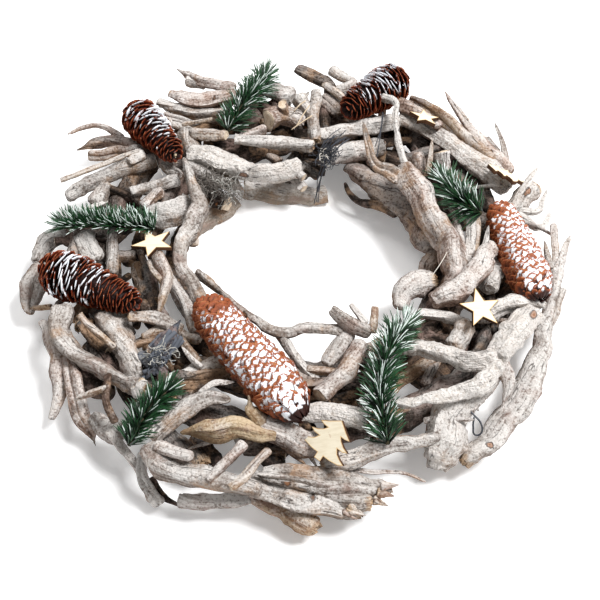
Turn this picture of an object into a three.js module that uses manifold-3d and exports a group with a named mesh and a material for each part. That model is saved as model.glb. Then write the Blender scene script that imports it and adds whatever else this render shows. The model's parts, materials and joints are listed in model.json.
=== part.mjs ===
// Driftwood advent wreath: a ring of bleached sticks with cones, fir sprigs and plywood shapes.
// Millimetres, +Z up. The origin is on the surface that the wreath lies on, under the middle of its outline.

import * as THREE from 'three';
import { mergeVertices } from 'three/addons/utils/BufferGeometryUtils.js';
import Module from 'manifold-3d';

const wasm = await Module();
wasm.setup();

// Driving dimensions
const SEAT_GAP = 0.4;
const BASE_ROD = 16;
const BASE_FLAT = 1;
const PLANED_OFF = { side: 500, depth: 40 };
const UNDER_STICK = 18;
const UNDER_CROSS = 14;
const UNDER_INNER_RADIUS = 120;
const UNDER_OUTER_RADIUS = 154;
const UNDER_HEIGHT = 25;
const PLY = 3;
const UNDER_SPREAD = 42;
const CROSS_INNER_ENDS = [102, 80, 86, 92];
const CROSS_OUTER_END = 168;
const CROSS_HEIGHT = [20, 22];
const NEEDLE_LENGTH = 17;
const NEEDLE_WIDTH = 1.7;
const NEEDLE_FAN = 115;
const NEEDLE_LEAN = [48, 68];
const NEEDLE_TURN = 0.618;
const SPRIG_STEM = 3.6;
const WIRE = 1.3;

// Lumps of a stick's section, the bulge of its ends, and the thickness from which it has six sides
const LUMP_OF_SIDE = 0.08;
const LUMP_OF_POINT = 0.04;
const END_BULGE = 0.12;
const SIX_SIDED_FROM = 12;

// A cone's profile: where it is widest, how it closes, where a scale's root and lip lie and stand out
const CONE_WIDEST = 0.28;
const CONE_ROUND = 0.33;
const CONE_TAPER = 1.2;
const CONE_CLOSES_FROM = 0.86;
const CONE_CLOSING = 0.16;
const SCALE_ROOT = { along: 0.12, out: 0.8, between: 0.8 };
const SCALE_LIP = { along: 0.94, out: 1, between: 0.84 };

// The bends below are measured from the middle of the hole, which lies this far from the outline's middle
const HOLE_MIDDLE = [1, 13, 0];

// Base rods lie end to end round the hole: [x, y] of both ends
const BASE_RODS = [
  [[-44, 82], [21, 76]],
  [[-14, 80], [2, 124]],
  [[-4, 120], [56, 118]],
  [[52, 122], [90, 84]],
  [[88, 92], [114, 2]],
  [[114, 8], [84, -64]],
  [[86, -56], [6, -92]],
  [[14, -90], [-62, -68]],
  [[-58, -72], [-98, -4]],
  [[-99, -12], [-88, 46]],
  [[-88, 38], [-50, 70]],
];

// Every stick is a row of bends: x, y, height and thickness there. A node holds the sticks that are
// glued and grown together. Sticks that come later are notched where earlier ones lie in them.
const DRIFTWOOD = {
  front_elbow_branch: [
    [[-100, -166, 40, 16], [-91, -180, 42, 17], [-75, -186, 42, 16], [-60, -189, 42, 15], [-44, -192, 40, 13],
      [-29, -195, 34, 12], [-16, -200, 28, 9]],
    [[-92, -168, 48, 9], [-78, -176, 52, 9], [-68, -180, 56, 7]],
    [[-35, -168, 52, 9], [-58, -194, 49, 7]],
    [[-19, -171, 48, 6], [-43, -196, 45, 6]],
  ],
  front_low_slab: [
    [[-79, -192, 18, 10], [-56, -195, 20, 10], [-31, -191, 22, 9]],
    [[-40, -184, 22, 12], [-21, -194, 18, 16], [9, -210, 15, 18]],
  ],
  front_big_log: [
    [[-24, -184, 40, 9], [0, -186, 38, 14], [27, -187, 33, 15], [58, -188, 24, 11]],
    [[-41, -188, 34, 9], [-21, -192, 32, 14], [2, -196, 29, 18], [40, -201, 20, 15]],
    [[-28, -186, 44, 4], [-2, -189, 43, 5], [23, -194, 37, 4]],
  ],
  front_tan_driftwood: [
    [[-78, -156, 43, 5], [-62, -159, 50, 14], [-41, -158, 52, 14], [-16, -163, 50, 6]],
  ],
  front_pink_log: [
    [[-27, -151, 46, 13], [-7, -158, 46, 17], [13, -166, 44, 16]],
    [[-33, -139, 62, 6], [-31, -145, 56, 10], [-24, -153, 48, 11]],
  ],
  front_right_log: [
    [[15, -177, 34, 10], [34, -173, 38, 14], [74, -160, 38, 12], [92, -156, 38, 8]],
    [[29, -176, 32, 3], [48, -176, 26, 3], [70, -174, 18, 2.2], [85, -176, 12, 2]],
  ],
  front_inner_log: [
    [[-2, -143, 44, 12], [17, -142, 46, 14], [44, -148, 46, 13]],
    [[39, -147, 42, 7], [68, -135, 32, 4.5], [79, -132, 30, 2.2]],
  ],
  hole_front_arc: [
    [[-74, -28, 46, 7], [-55, -46, 44, 5], [-37, -63, 44, 6], [-18, -79, 46, 9], [4, -78, 48, 8],
      [33, -81, 50, 8]],
    [[-14, -80, 45, 7], [0, -103, 42, 7], [14, -115, 38, 5]],
    [[22, -70, 60, 6], [35, -78, 56, 10], [50, -86, 54, 10]],
    [[35, -67, 62, 4], [46, -80, 56, 6]],
    [[52, -68, 60, 5], [50, -84, 55, 6]],
  ],
  front_crossed_branches: [
    [[43, -92, 52, 12], [31, -113, 50, 13], [12, -133, 48, 12]],
    [[34, -80, 46, 12], [26, -93, 46, 13], [17, -105, 44, 11]],
    [[5, -107, 42, 6], [30, -112, 46, 7]],
  ],
  hole_right_stump: [
    [[71, -49, 30, 12], [76, -39, 33, 16], [85, -32, 35, 17], [98, -29, 37, 13]],
  ],
  right_forked_root: [
    [[164, -61, 40, 21], [147, -84, 50, 23], [132, -107, 54, 20]],
    [[132, -107, 54, 16], [111, -109, 56, 13], [92, -103, 58, 13], [70, -99, 58, 11]],
    [[133, -109, 52, 16], [119, -127, 54, 13], [100, -135, 56, 10], [81, -139, 56, 8], [61, -141, 56, 7]],
    [[135, -106, 50, 12], [141, -118, 46, 10], [135, -134, 38, 3]],
    [[130, -70, 52, 10], [149, -58, 50, 13], [173, -56, 44, 8]],
  ],
  right_trunk: [
    [[136, -106, 44, 17], [124, -117, 38, 19], [107, -127, 31, 28], [101, -140, 26, 32],
      [98, -151, 23, 32], [95, -161, 19, 28], [92, -168, 15, 20]],
  ],
  right_outer_bow: [
    [[188, -13, 38, 9], [180, -47, 38, 10], [168, -84, 36, 15], [159, -106, 32, 17], [146, -129, 28, 17],
      [127, -152, 24, 16], [110, -168, 22, 13]],
    [[199, 5, 46, 4], [185, -26, 38, 7]],
    [[180, 2, 44, 4], [182, -22, 40, 7]],
    [[188, 17, 44, 6], [188, -2, 42, 7], [187, -21, 38, 7]],
    [[191, -35, 34, 7], [183, -54, 32, 6], [175, -73, 32, 4]],
  ],
  right_fat_branch: [
    [[93, -58, 50, 14], [111, -50, 52, 18], [128, -32, 54, 18], [139, -9, 52, 16]],
    [[148, -14, 38, 15], [134, -42, 46, 15]],
    [[114, 21, 58, 5], [117, 1, 50, 6], [121, -20, 46, 6]],
    [[126, 17, 54, 7], [122, -22, 46, 7]],
    [[132, 17, 54, 4], [126, -18, 48, 4]],
    [[137, 3, 60, 4], [130, -22, 54, 4]],
  ],
  right_inner_twigs: [
    [[83, -62, 44, 6], [104, -65, 44, 8], [119, -69, 42, 8]],
    [[117, -70, 44, 14], [105, -90, 40, 14]],
    [[101, -58, 30, 7], [87, -75, 34, 9], [104, -84, 38, 9]],
    [[62, -113, 24, 10], [78, -101, 28, 10], [101, -89, 35, 10]],
    [[79, -97, 20, 13], [93, -108, 18, 13]],
  ],
  right_inner_trunk: [
    [[78, 64, 56, 14], [90, 35, 56, 19], [101, 6, 54, 20], [111, -19, 50, 20], [109, -39, 44, 14]],
    [[49, 96, 70, 3], [52, 78, 64, 5], [58, 63, 58, 7], [76, 54, 54, 11]],
    [[65, 131, 62, 7], [75, 119, 66, 6], [75, 96, 62, 5], [81, 56, 57, 7]],
    [[101, 83, 66, 4], [97, 61, 44, 5]],
    [[91, 82, 52, 10], [95, 66, 40, 9]],
    [[110, 82, 52, 12], [112, 66, 38, 9]],
    [[82, 54, 49, 11], [116, 66, 38, 9]],
  ],
  right_dark_wall: [
    [[36, 77, 22, 3], [39, 68, 20, 5], [47, 62, 18, 6], [61, 55, 20, 7], [76, 45, 24, 8]],
    [[38, 89, 28, 13], [66, 67, 25, 22], [89, 42, 26, 24], [103, 8, 26, 20]],
    [[100, 18, 24, 15], [100, 2, 22, 15], [86, -30, 22, 15]],
  ],
  back_right_branch: [
    [[80, 126, 43, 11], [105, 111, 44, 13], [126, 90, 42, 14], [149, 72, 38, 17], [162, 60, 33, 14]],
    [[79, 134, 52, 10], [94, 121, 54, 11], [110, 107, 52, 9]],
  ],
  back_right_bark_branch: [
    [[90, 149, 42, 6], [109, 129, 46, 11], [128, 104, 46, 13], [151, 82, 42, 10]],
    [[119, 157, 42, 2.4], [130, 128, 42, 6], [142, 104, 42, 9], [157, 85, 40, 10], [165, 74, 38, 8]],
    [[155, 119, 46, 2.2], [159, 101, 42, 4], [160, 82, 40, 6]],
    [[148, 105, 44, 3], [156, 91, 42, 6]],
  ],
  right_top_stub: [
    [[182, 59, 36, 15], [150, 29, 37, 17]],
    [[185, 77, 40, 4], [166, 52, 38, 6]],
    [[190, 56, 38, 3], [181, 37, 36, 5], [167, 36, 37, 7]],
    [[190, 34, 36, 3], [181, 22, 34, 5], [164, 33, 36, 8]],
  ],
  back_log: [
    [[10, 106, 43, 12], [37, 110, 44, 13], [58, 117, 44, 17], [77, 123, 43, 14]],
    [[13, 139, 62, 9], [12, 117, 56, 11], [13, 100, 46, 9]],
    [[-2, 132, 62, 13], [12, 114, 55, 9]],
  ],
  back_low_log: [
    [[23, 88, 40, 14], [40, 94, 38, 17], [67, 101, 36, 13]],
  ],
  back_peeled_stick: [
    [[-50, 95, 52, 8], [-26, 92, 52, 11], [12, 90, 50, 11]],
    [[-24, 108, 60, 16], [-12, 115, 56, 17], [2, 117, 50, 14]],
    [[-13, 116, 69, 8], [-11, 119, 58, 9]],
    [[-26, 106, 53, 9], [-48, 95, 51, 5]],
  ],
  back_arch_branch: [
    [[-87, 89, 44, 12], [-68, 84, 44, 17], [-49, 74, 44, 19], [-24, 70, 42, 18], [1, 76, 40, 16]],
    [[-59, 71, 38, 8], [-47, 73, 40, 9]],
    [[4, 82, 22, 6], [2, 80, 36, 7]],
  ],
  back_left_bundle: [
    [[-102, 186, 40, 5], [-82, 173, 40, 9], [-53, 162, 40, 11]],
    [[-92, 177, 36, 12], [-77, 171, 37, 10]],
    [[-105, 151, 46, 6], [-83, 144, 46, 13], [-51, 149, 44, 15]],
    [[-113, 148, 40, 5], [-96, 138, 40, 11], [-60, 130, 40, 13]],
    [[-64, 126, 32, 13], [-62, 166, 34, 13]],
  ],
  back_left_block: [
    [[-93, 117, 40, 14], [-83, 96, 34, 15]],
    [[-86, 110, 44, 9], [-57, 104, 46, 9]],
    [[-93, 117, 46, 3], [-69, 119, 51, 3]],
    [[-87, 88, 34, 20], [-67, 73, 34, 18], [-42, 61, 32, 5]],
  ],
  back_stub_log: [
    [[-30, 163, 41, 15], [-17, 155, 42, 17], [-5, 149, 44, 18]],
  ],
  back_bark_log: [
    [[-2, 184, 42, 10], [12, 173, 44, 12], [28, 157, 46, 10]],
    [[26, 189, 36, 9], [44, 170, 38, 9], [30, 158, 42, 8]],
    [[20, 161, 47, 6], [39, 137, 50, 6]],
    [[19, 152, 40, 11], [33, 132, 42, 10]],
    [[24, 165, 38, 9], [20, 112, 37, 10]],
  ],
  left_bark_arc: [
    [[-184, 112, 40, 3], [-171, 119, 40, 4], [-157, 122, 38, 5], [-148, 119, 35, 6], [-141, 114, 32, 8]],
    [[-178, 106, 28, 4], [-164, 113, 30, 10], [-147, 113, 32, 11], [-122, 98, 37, 13]],
    [[-167, 97, 32, 8], [-144, 97, 36, 9], [-123, 93, 42, 9]],
  ],
  left_tan_branch: [
    [[-183, 62, 42, 4], [-154, 74, 46, 4], [-123, 86, 49, 4]],
    [[-131, 76, 47, 7], [-121, 87, 46, 11]],
    [[-179, 55, 30, 11], [-161, 67, 34, 11], [-138, 77, 38, 12], [-111, 87, 40, 12]],
    [[-156, 46, 31, 15], [-147, 66, 35, 12]],
  ],
  left_knotty_branch: [
    [[-128, 50, 42, 8], [-112, 55, 42, 10], [-93, 62, 42, 9]],
    [[-115, 29, 40, 15], [-99, 31, 42, 20], [-84, 39, 42, 15]],
    [[-118, 36, 42, 9], [-105, 52, 42, 9]],
    [[-106, 81, 42, 9], [-92, 66, 42, 9]],
  ],
  hole_left_branch: [
    [[-88, 71, 58, 7], [-81, 50, 54, 9], [-75, 28, 50, 15], [-81, 7, 50, 14], [-86, -13, 50, 10],
      [-85, -24, 48, 9], [-76, -39, 46, 10], [-68, -50, 42, 10]],
    [[-81, 16, 46, 9], [-78, 2, 38, 7]],
  ],
  left_outer_branch: [
    [[-195, -5, 26, 9], [-186, 14, 30, 14], [-171, 20, 33, 14]],
    [[-197, -46, 20, 7], [-196, -27, 22, 16], [-190, -7, 26, 13]],
    [[-196, -43, 22, 5], [-178, -47, 30, 4]],
    [[-161, 13, 38, 16], [-150, -14, 38, 16]],
    [[-138, 16, 42, 9], [-135, -25, 39, 9]],
    [[-178, 18, 32, 11], [-136, -3, 35, 10]],
  ],
  left_inner_branches: [
    [[-102, -15, 52, 9], [-95, -36, 50, 9], [-98, -67, 48, 4]],
    [[-108, -19, 48, 5], [-97, -38, 49, 6]],
    [[-93, -32, 44, 9], [-82, -50, 42, 9], [-72, -76, 39, 8]],
    [[-118, -70, 50, 7], [-102, -70, 48, 10], [-81, -76, 43, 8]],
    [[-109, -79, 39, 7], [-90, -76, 39, 10], [-68, -80, 37, 8]],
    [[-83, -82, 42, 6], [-68, -102, 44, 5]],
  ],
  left_long_branch: [
    [[-166, -56, 42, 16], [-167, -75, 42, 14], [-158, -91, 42, 12], [-142, -102, 40, 12],
      [-122, -113, 40, 12], [-104, -123, 45, 12]],
    [[-183, -61, 31, 5], [-172, -79, 34, 12], [-167, -99, 27, 13], [-165, -113, 21, 10], [-169, -131, 16, 5]],
    [[-162, -84, 35, 9], [-154, -112, 30, 11], [-147, -132, 24, 12], [-138, -152, 16, 3]],
    [[-129, -113, 44, 6], [-126, -137, 50, 5], [-120, -150, 46, 5]],
    [[-150, -132, 44, 3], [-139, -128, 47, 5], [-128, -126, 49, 5]],
  ],
  left_broad_branch: [
    [[-135, -56, 34, 25], [-122, -84, 36, 21], [-112, -112, 32, 14]],
    [[-152, -70, 54, 5], [-127, -90, 42, 5]],
  ],
  front_left_log: [
    [[-93, -117, 34, 14], [-69, -106, 36, 16], [-48, -99, 38, 15]],
    [[-80, -94, 50, 4], [-66, -107, 44, 5]],
  ],
  front_left_branch: [
    [[-97, -160, 43, 11], [-76, -142, 48, 12], [-62, -133, 50, 12], [-46, -136, 50, 4]],
    [[-68, -133, 54, 4], [-56, -126, 55, 5], [-43, -125, 56, 5]],
  ],
  front_left_twigs: [
    [[-140, -134, 26, 11], [-119, -151, 28, 15]],
    [[-127, -149, 34, 7], [-116, -161, 27, 6], [-104, -176, 18, 6], [-97, -190, 10, 7]],
    [[-103, -163, 30, 7], [-102, -178, 24, 7], [-92, -193, 12, 8]],
    [[-98, -177, 20, 5], [-90, -187, 12, 5], [-78, -193, 8, 3]],
  ],
};

// Cones: the round end and the tip as x, y, height, the thickness at both, the rows of scales
const CONES = {
  left_cone: { base: [-184, -24, 48], tip: [-111, -62, 54], fat: 37, thin: 18, rows: 11, around: 7 },
  back_left_cone: { base: [-133, 130, 50], tip: [-92, 70, 60], fat: 33, thin: 17, rows: 11, around: 7 },
  back_right_cone: { base: [84, 161, 54.5], tip: [35, 117, 60.5], fat: 36, thin: 21, rows: 9, around: 7 },
  right_cone: { base: [167, -57, 54], tip: [146, 30, 52], fat: 33, thin: 23, rows: 12, around: 7 },
  front_cone: { base: [0, -152, 62], tip: [-69, -59, 54], fat: 38, thin: 30, rows: 14, around: 8 },
};

// Fir sprigs: bends of the stem as x, y, height from its root to its tip, and the number of needles
const SPRIGS = {
  left_sprig: { stem: [[-106, 9, 49], [-130, 10, 50], [-154, 12, 49], [-173, 12, 47]], needles: 38 },
  back_sprig: { stem: [[-57, 109, 46], [-43, 133, 55], [-35, 147, 55], [-27, 166, 52]], needles: 34 },
  right_sprig: { stem: [[133, 15, 59], [122, 21, 62], [115, 32, 62], [108, 50, 57]], needles: 32 },
  front_right_sprig: {
    stem: [[57, -168, 49], [54, -152, 55], [52, -138, 60], [54, -124, 64], [59, -108, 66], [65, -96, 64],
      [72, -83, 60]],
    needles: 44,
  },
  front_left_sprig: {
    stem: [[-111, -165, 42], [-104, -153, 50], [-96, -142, 54], [-87, -132, 56]],
    needles: 36,
  },
};

// Plywood shapes: centre, the tilts about X and Y and the turn about Z in degrees, and the reach of a point
const STARS = {
  left_star: { at: [-105, -10.5, 56.5], tilt: [-13, 2], turn: 28, reach: 16 },
  back_star: { at: [97, 107, 63], tilt: [-20, 12], turn: -4, reach: 12.5 },
  right_star: { at: [124, -69.5, 59.5], tilt: [11, 10], turn: 13, reach: 15.7 },
};
const TREES = {
  front_tree: { at: [18, -170.5, 55], tilt: [36, 0], turn: -41 },
  back_tree: { at: [158.5, 57.5, 51.5], tilt: [12, 38], turn: 70 },
};
const STAR_WAIST = 0.42;
const TREE_SIDE = [[0, 18], [12, 10], [5.5, 9], [10.5, 4.5], [15, 3], [7.5, 1.5], [13, -3.5], [17, -5],
  [7.5, -8], [2.5, -8], [2.5, -12]];

const WIRE_LOOP = [[113, -136, 37], [117, -140, 36], [121, -145, 34], [121, -150, 31], [117, -151, 30],
  [115.5, -147, 34], [116, -142, 38]];

const COLOURS = {
  driftwood: { color: 0xb9aa9c, roughness: 0.85, metalness: 0 },
  darkWood: { color: 0x5d4a3c, roughness: 0.9, metalness: 0 },
  peeledRod: { color: 0xa89a8c, roughness: 0.8, metalness: 0 },
  cone: { color: 0x6e3316, roughness: 0.75, metalness: 0 },
  fir: { color: 0x1d4a30, roughness: 0.6, metalness: 0 },
  plywood: { color: 0xf0dfb8, roughness: 0.7, metalness: 0 },
  wire: { color: 0x3a3632, roughness: 0.5, metalness: 0.6 },
};

// Repeatable draws
function makeDraw(seed) {
  let state = seed * 2654435761 % 4294967296;
  return () => {
    state = (state * 1664525 + 1013904223) % 4294967296;
    return state / 4294967296;
  };
}

// Solids and meshes
function toSolid(positions, indices) {
  const mesh = new wasm.Mesh({
    numProp: 3,
    vertProperties: Float32Array.from(positions),
    triVerts: Uint32Array.from(indices),
  });
  return new wasm.Manifold(mesh);
}

function geometryToSolid(geometry) {
  const bare = geometry.clone();
  bare.deleteAttribute('normal');
  bare.deleteAttribute('uv');
  const merged = mergeVertices(bare, 1e-4);
  return toSolid(merged.attributes.position.array, merged.index.array);
}

function largestBody(solid) {
  const bodies = solid.decompose();
  return bodies.reduce((best, body) => (body.volume() > best.volume() ? body : best));
}

function solidToMesh(name, solid, look) {
  const { vertProperties, triVerts } = solid.getMesh();
  const geometry = new THREE.BufferGeometry();
  geometry.setAttribute('position', new THREE.BufferAttribute(Float32Array.from(vertProperties), 3));
  geometry.setIndex([...triVerts]);
  const faceted = geometry.toNonIndexed();
  faceted.computeVertexNormals();
  const mesh = new THREE.Mesh(faceted, new THREE.MeshStandardMaterial(look));
  mesh.name = name;
  return mesh;
}

function union(solids) {
  return solids.reduce((whole, solid) => whole.add(solid));
}

// A stick: rings of a lumpy section carried along a smooth line through its bends
function stickSolid(bends, seed, grow = 0) {
  const draw = makeDraw(seed);
  const points = bends.map(([x, y, z]) => new THREE.Vector3(x, y, z));
  const line = new THREE.CatmullRomCurve3(points, false, 'centripetal');
  const thickest = Math.max(...bends.map((bend) => bend[3]));
  const sides = thickest > SIX_SIDED_FROM ? 6 : 5;
  const stretches = bends.length - 1;
  const lump = (amount) => 1 - amount + 2 * amount * draw();
  const sideFactors = Array.from({ length: sides }, () => lump(LUMP_OF_SIDE));
  const positions = [];
  const indices = [];
  let across = null;
  for (let ring = 0; ring <= stretches; ring += 1) {
    const t = ring / stretches;
    const centre = line.getPoint(t);
    const along = line.getTangent(t);
    if (!across) across = new THREE.Vector3(0.2, 0.3, 1);
    across.addScaledVector(along, -across.dot(along)).normalize();
    const other = new THREE.Vector3().crossVectors(along, across);
    const thickness = bends[ring][3];
    if (ring === 0) centre.addScaledVector(along, -grow);
    if (ring === stretches) centre.addScaledVector(along, grow);
    for (let side = 0; side < sides; side += 1) {
      const angle = (side / sides) * Math.PI * 2;
      const radius = (thickness / 2) * sideFactors[side] * lump(LUMP_OF_POINT) + grow;
      const point = centre.clone()
        .addScaledVector(across, Math.cos(angle) * radius)
        .addScaledVector(other, Math.sin(angle) * radius);
      positions.push(point.x, point.y, point.z);
    }
  }
  const startTip = line.getPoint(0).addScaledVector(line.getTangent(0), -END_BULGE * bends[0][3] - grow);
  const endTip = line.getPoint(1).addScaledVector(line.getTangent(1), END_BULGE * bends[stretches][3] + grow);
  const start = positions.length / 3;
  positions.push(startTip.x, startTip.y, startTip.z, endTip.x, endTip.y, endTip.z);
  const last = stretches * sides;
  for (let side = 0; side < sides; side += 1) {
    const next = (side + 1) % sides;
    for (let ring = 0; ring < stretches; ring += 1) {
      const near = ring * sides;
      const far = near + sides;
      indices.push(near + side, near + next, far + side, near + next, far + next, far + side);
    }
    indices.push(start, next, side, start + 1, last + side, last + next);
  }
  return toSolid(positions, indices);
}

function sticksSolid(sticks, seed, grow = 0) {
  return union(sticks.map((bends, index) => stickSolid(bends, seed * 50 + index + 1, grow)));
}

// A cone: each row of scales is a root ring and a lip ring, the lips standing out in turn
function coneSolid({ base, tip, fat, thin, rows, around }, grow = 0, plain = false) {
  const start = new THREE.Vector3(...base);
  const axis = new THREE.Vector3(...tip).sub(start);
  const length = axis.length();
  axis.normalize();
  const across = new THREE.Vector3(0, 0, 1).addScaledVector(axis, -axis.z).normalize();
  const other = new THREE.Vector3().crossVectors(axis, across);
  const outer = (t) => {
    const swell = Math.sqrt(Math.max(0, 1 - ((CONE_WIDEST - Math.min(t, CONE_WIDEST)) / CONE_ROUND) ** 2));
    const past = Math.max(0, (t - CONE_WIDEST) / (1 - CONE_WIDEST));
    const taper = THREE.MathUtils.lerp(fat, thin, past ** CONE_TAPER);
    const closing = Math.sqrt(Math.max(0, 1 - (Math.max(0, t - CONE_CLOSES_FROM) / CONE_CLOSING) ** 2));
    return (taper / 2) * swell * closing;
  };
  const rings = [];
  for (let row = 0; row < rows; row += 1) {
    rings.push({ t: (row + SCALE_ROOT.along) / rows, part: SCALE_ROOT, row });
    rings.push({ t: (row + SCALE_LIP.along) / rows, part: SCALE_LIP, row });
  }
  const positions = [];
  const indices = [];
  const count = around * 2;
  rings.forEach(({ t, part, row }, index) => {
    const middle = start.clone().addScaledVector(axis, t * length);
    for (let k = 0; k < count; k += 1) {
      const standing = (k + row) % 2 === 0 ? part.out : part.between;
      const radius = outer(t) * (plain ? 1 : standing) + grow;
      const angle = (k / count) * Math.PI * 2;
      const point = middle.clone()
        .addScaledVector(across, Math.cos(angle) * radius)
        .addScaledVector(other, Math.sin(angle) * radius);
      positions.push(point.x, point.y, point.z);
    }
    if (index === 0) return;
    const near = (index - 1) * count;
    const far = index * count;
    for (let k = 0; k < count; k += 1) {
      const next = (k + 1) % count;
      indices.push(near + k, near + next, far + k, near + next, far + next, far + k);
    }
  });
  const baseEnd = start.clone().addScaledVector(axis, -grow);
  const tipEnd = start.clone().addScaledVector(axis, length + grow);
  const firstPole = positions.length / 3;
  positions.push(baseEnd.x, baseEnd.y, baseEnd.z, tipEnd.x, tipEnd.y, tipEnd.z);
  const last = (rings.length - 1) * count;
  for (let k = 0; k < count; k += 1) {
    const next = (k + 1) % count;
    indices.push(firstPole, next, k, firstPole + 1, last + k, last + next);
  }
  return toSolid(positions, indices);
}

// A needle: a thin three-sided spike with its root sunk in the stem
function needleSolid(root, direction, length) {
  const across = new THREE.Vector3(0.3, 0.2, 1).cross(direction).normalize();
  const other = new THREE.Vector3().crossVectors(direction, across);
  const positions = [];
  for (let k = 0; k < 3; k += 1) {
    const angle = (k / 3) * Math.PI * 2;
    const point = root.clone()
      .addScaledVector(across, Math.cos(angle) * NEEDLE_WIDTH / 2)
      .addScaledVector(other, Math.sin(angle) * NEEDLE_WIDTH / 2);
    positions.push(point.x, point.y, point.z);
  }
  const end = root.clone().addScaledVector(direction, length);
  positions.push(end.x, end.y, end.z);
  return toSolid(positions, [0, 2, 1, 0, 1, 3, 1, 2, 3, 2, 0, 3]);
}

function sprigSolid({ stem, needles }, seed) {
  const draw = makeDraw(seed);
  const bends = stem.map(([x, y, z]) => [x, y, z, SPRIG_STEM]);
  const points = stem.map((point) => new THREE.Vector3(...point));
  const line = new THREE.CatmullRomCurve3(points, false, 'centripetal');
  const solids = [stickSolid(bends, seed)];
  for (let index = 0; index < needles; index += 1) {
    const t = (index + 1) / (needles + 1);
    const along = line.getTangent(t);
    const side = new THREE.Vector3(0, 0, 1).cross(along).normalize();
    const upward = new THREE.Vector3().crossVectors(along, side);
    const share = (index * NEEDLE_TURN + 0.1 * draw()) % 1;
    const turn = THREE.MathUtils.degToRad(NEEDLE_FAN * (2 * share - 1));
    const lean = THREE.MathUtils.degToRad(THREE.MathUtils.lerp(...NEEDLE_LEAN, draw()));
    const direction = along.clone().multiplyScalar(Math.cos(lean))
      .addScaledVector(upward, Math.sin(lean) * Math.cos(turn))
      .addScaledVector(side, Math.sin(lean) * Math.sin(turn));
    solids.push(needleSolid(line.getPoint(t), direction, NEEDLE_LENGTH * (0.85 + 0.3 * draw())));
  }
  return union(solids);
}

// Plywood shapes
function starOutline(reach) {
  const corners = [];
  for (let k = 0; k < 10; k += 1) {
    const radius = k % 2 === 0 ? reach : reach * STAR_WAIST;
    const angle = Math.PI / 2 + (k * Math.PI) / 5;
    corners.push(new THREE.Vector2(Math.cos(angle) * radius, Math.sin(angle) * radius));
  }
  return new THREE.Shape(corners);
}

function treeOutline() {
  const left = TREE_SIDE.map(([x, y]) => new THREE.Vector2(-x, y));
  const right = TREE_SIDE.slice(1).reverse().map(([x, y]) => new THREE.Vector2(x, y));
  return new THREE.Shape([...left, ...right]);
}

function plateSolid(outline, { at, tilt, turn }, grow = 0) {
  const bevel = { bevelEnabled: grow > 0, bevelSegments: 1, bevelSize: grow, bevelThickness: grow };
  const geometry = new THREE.ExtrudeGeometry(outline, { depth: PLY, ...bevel });
  geometry.translate(0, 0, -PLY / 2);
  const angles = [tilt[0], tilt[1], turn].map(THREE.MathUtils.degToRad);
  geometry.applyMatrix4(new THREE.Matrix4().makeRotationFromEuler(new THREE.Euler(...angles, 'ZYX')));
  geometry.translate(...at);
  return geometryToSolid(geometry);
}

// The base ring: rods laid end to end round the hole, planed flat underneath
function baseRingSolid(grow = 0) {
  const height = BASE_ROD / 2 - BASE_FLAT;
  const rods = BASE_RODS.map((ends) => ends.map(([x, y]) => [x, y, height, BASE_ROD]));
  const { side, depth } = PLANED_OFF;
  const below = new THREE.BoxGeometry(side, side, depth).translate(0, 0, -depth / 2);
  const ring = sticksSolid(rods, 90, grow);
  return grow > 0 ? ring : ring.subtract(geometryToSolid(below));
}

// Under wood: in each quarter two sticks along the ring and one across it, which lies on the base ring
function underWoodSticks(quarter) {
  const middle = 45 + 90 * quarter;
  const bend = (degrees, radius, height, thickness) => {
    const angle = THREE.MathUtils.degToRad(middle + degrees);
    return [Math.cos(angle) * radius, Math.sin(angle) * radius, height, thickness];
  };
  const sticks = [UNDER_INNER_RADIUS, UNDER_OUTER_RADIUS].map((radius) => (
    [-UNDER_SPREAD, 0, UNDER_SPREAD].map((degrees) => bend(degrees, radius, UNDER_HEIGHT, UNDER_STICK))
  ));
  const crossReach = [CROSS_INNER_ENDS[quarter], CROSS_OUTER_END];
  sticks.push(crossReach.map((radius, end) => bend(0, radius, CROSS_HEIGHT[end], UNDER_CROSS)));
  return sticks;
}

// Assembly: what is placed first stays whole, and what comes later is notched round it
const wreath = new THREE.Group();
wreath.position.set(...HOLE_MIDDLE);
const placed = [];

function clearOf(solid) {
  const box = solid.boundingBox();
  const touches = (other) => [0, 1, 2].every((k) => box.min[k] <= other.max[k] && box.max[k] >= other.min[k]);
  const near = placed.filter(({ bounds }) => touches(bounds));
  return near.reduce((left, { grown }) => left.subtract(grown), solid);
}

function place(name, solid, grown, look) {
  const seated = largestBody(clearOf(solid));
  placed.push({ grown, bounds: grown.boundingBox() });
  wreath.add(solidToMesh(name, seated, look));
}

for (const [name, star] of Object.entries(STARS)) {
  const outline = starOutline(star.reach);
  place(name, plateSolid(outline, star), plateSolid(outline, star, SEAT_GAP), COLOURS.plywood);
}
for (const [name, tree] of Object.entries(TREES)) {
  place(name, plateSolid(treeOutline(), tree), plateSolid(treeOutline(), tree, SEAT_GAP), COLOURS.plywood);
}
for (const [name, cone] of Object.entries(CONES)) {
  place(name, coneSolid(cone), coneSolid(cone, SEAT_GAP, true), COLOURS.cone);
}
const wireBends = WIRE_LOOP.map(([x, y, z]) => [x, y, z, WIRE]);
place('binding_wire_loop', stickSolid(wireBends, 7), stickSolid(wireBends, 7, SEAT_GAP), COLOURS.wire);
Object.entries(DRIFTWOOD).forEach(([name, sticks], index) => {
  place(name, sticksSolid(sticks, index), sticksSolid(sticks, index, SEAT_GAP), COLOURS.driftwood);
});
place('base_ring', baseRingSolid(), baseRingSolid(SEAT_GAP), COLOURS.peeledRod);
for (let quarter = 0; quarter < 4; quarter += 1) {
  const sticks = underWoodSticks(quarter);
  const seed = 100 + quarter;
  const grown = sticksSolid(sticks, seed, SEAT_GAP);
  place(`under_wood_${quarter + 1}`, sticksSolid(sticks, seed), grown, COLOURS.darkWood);
}
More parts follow.
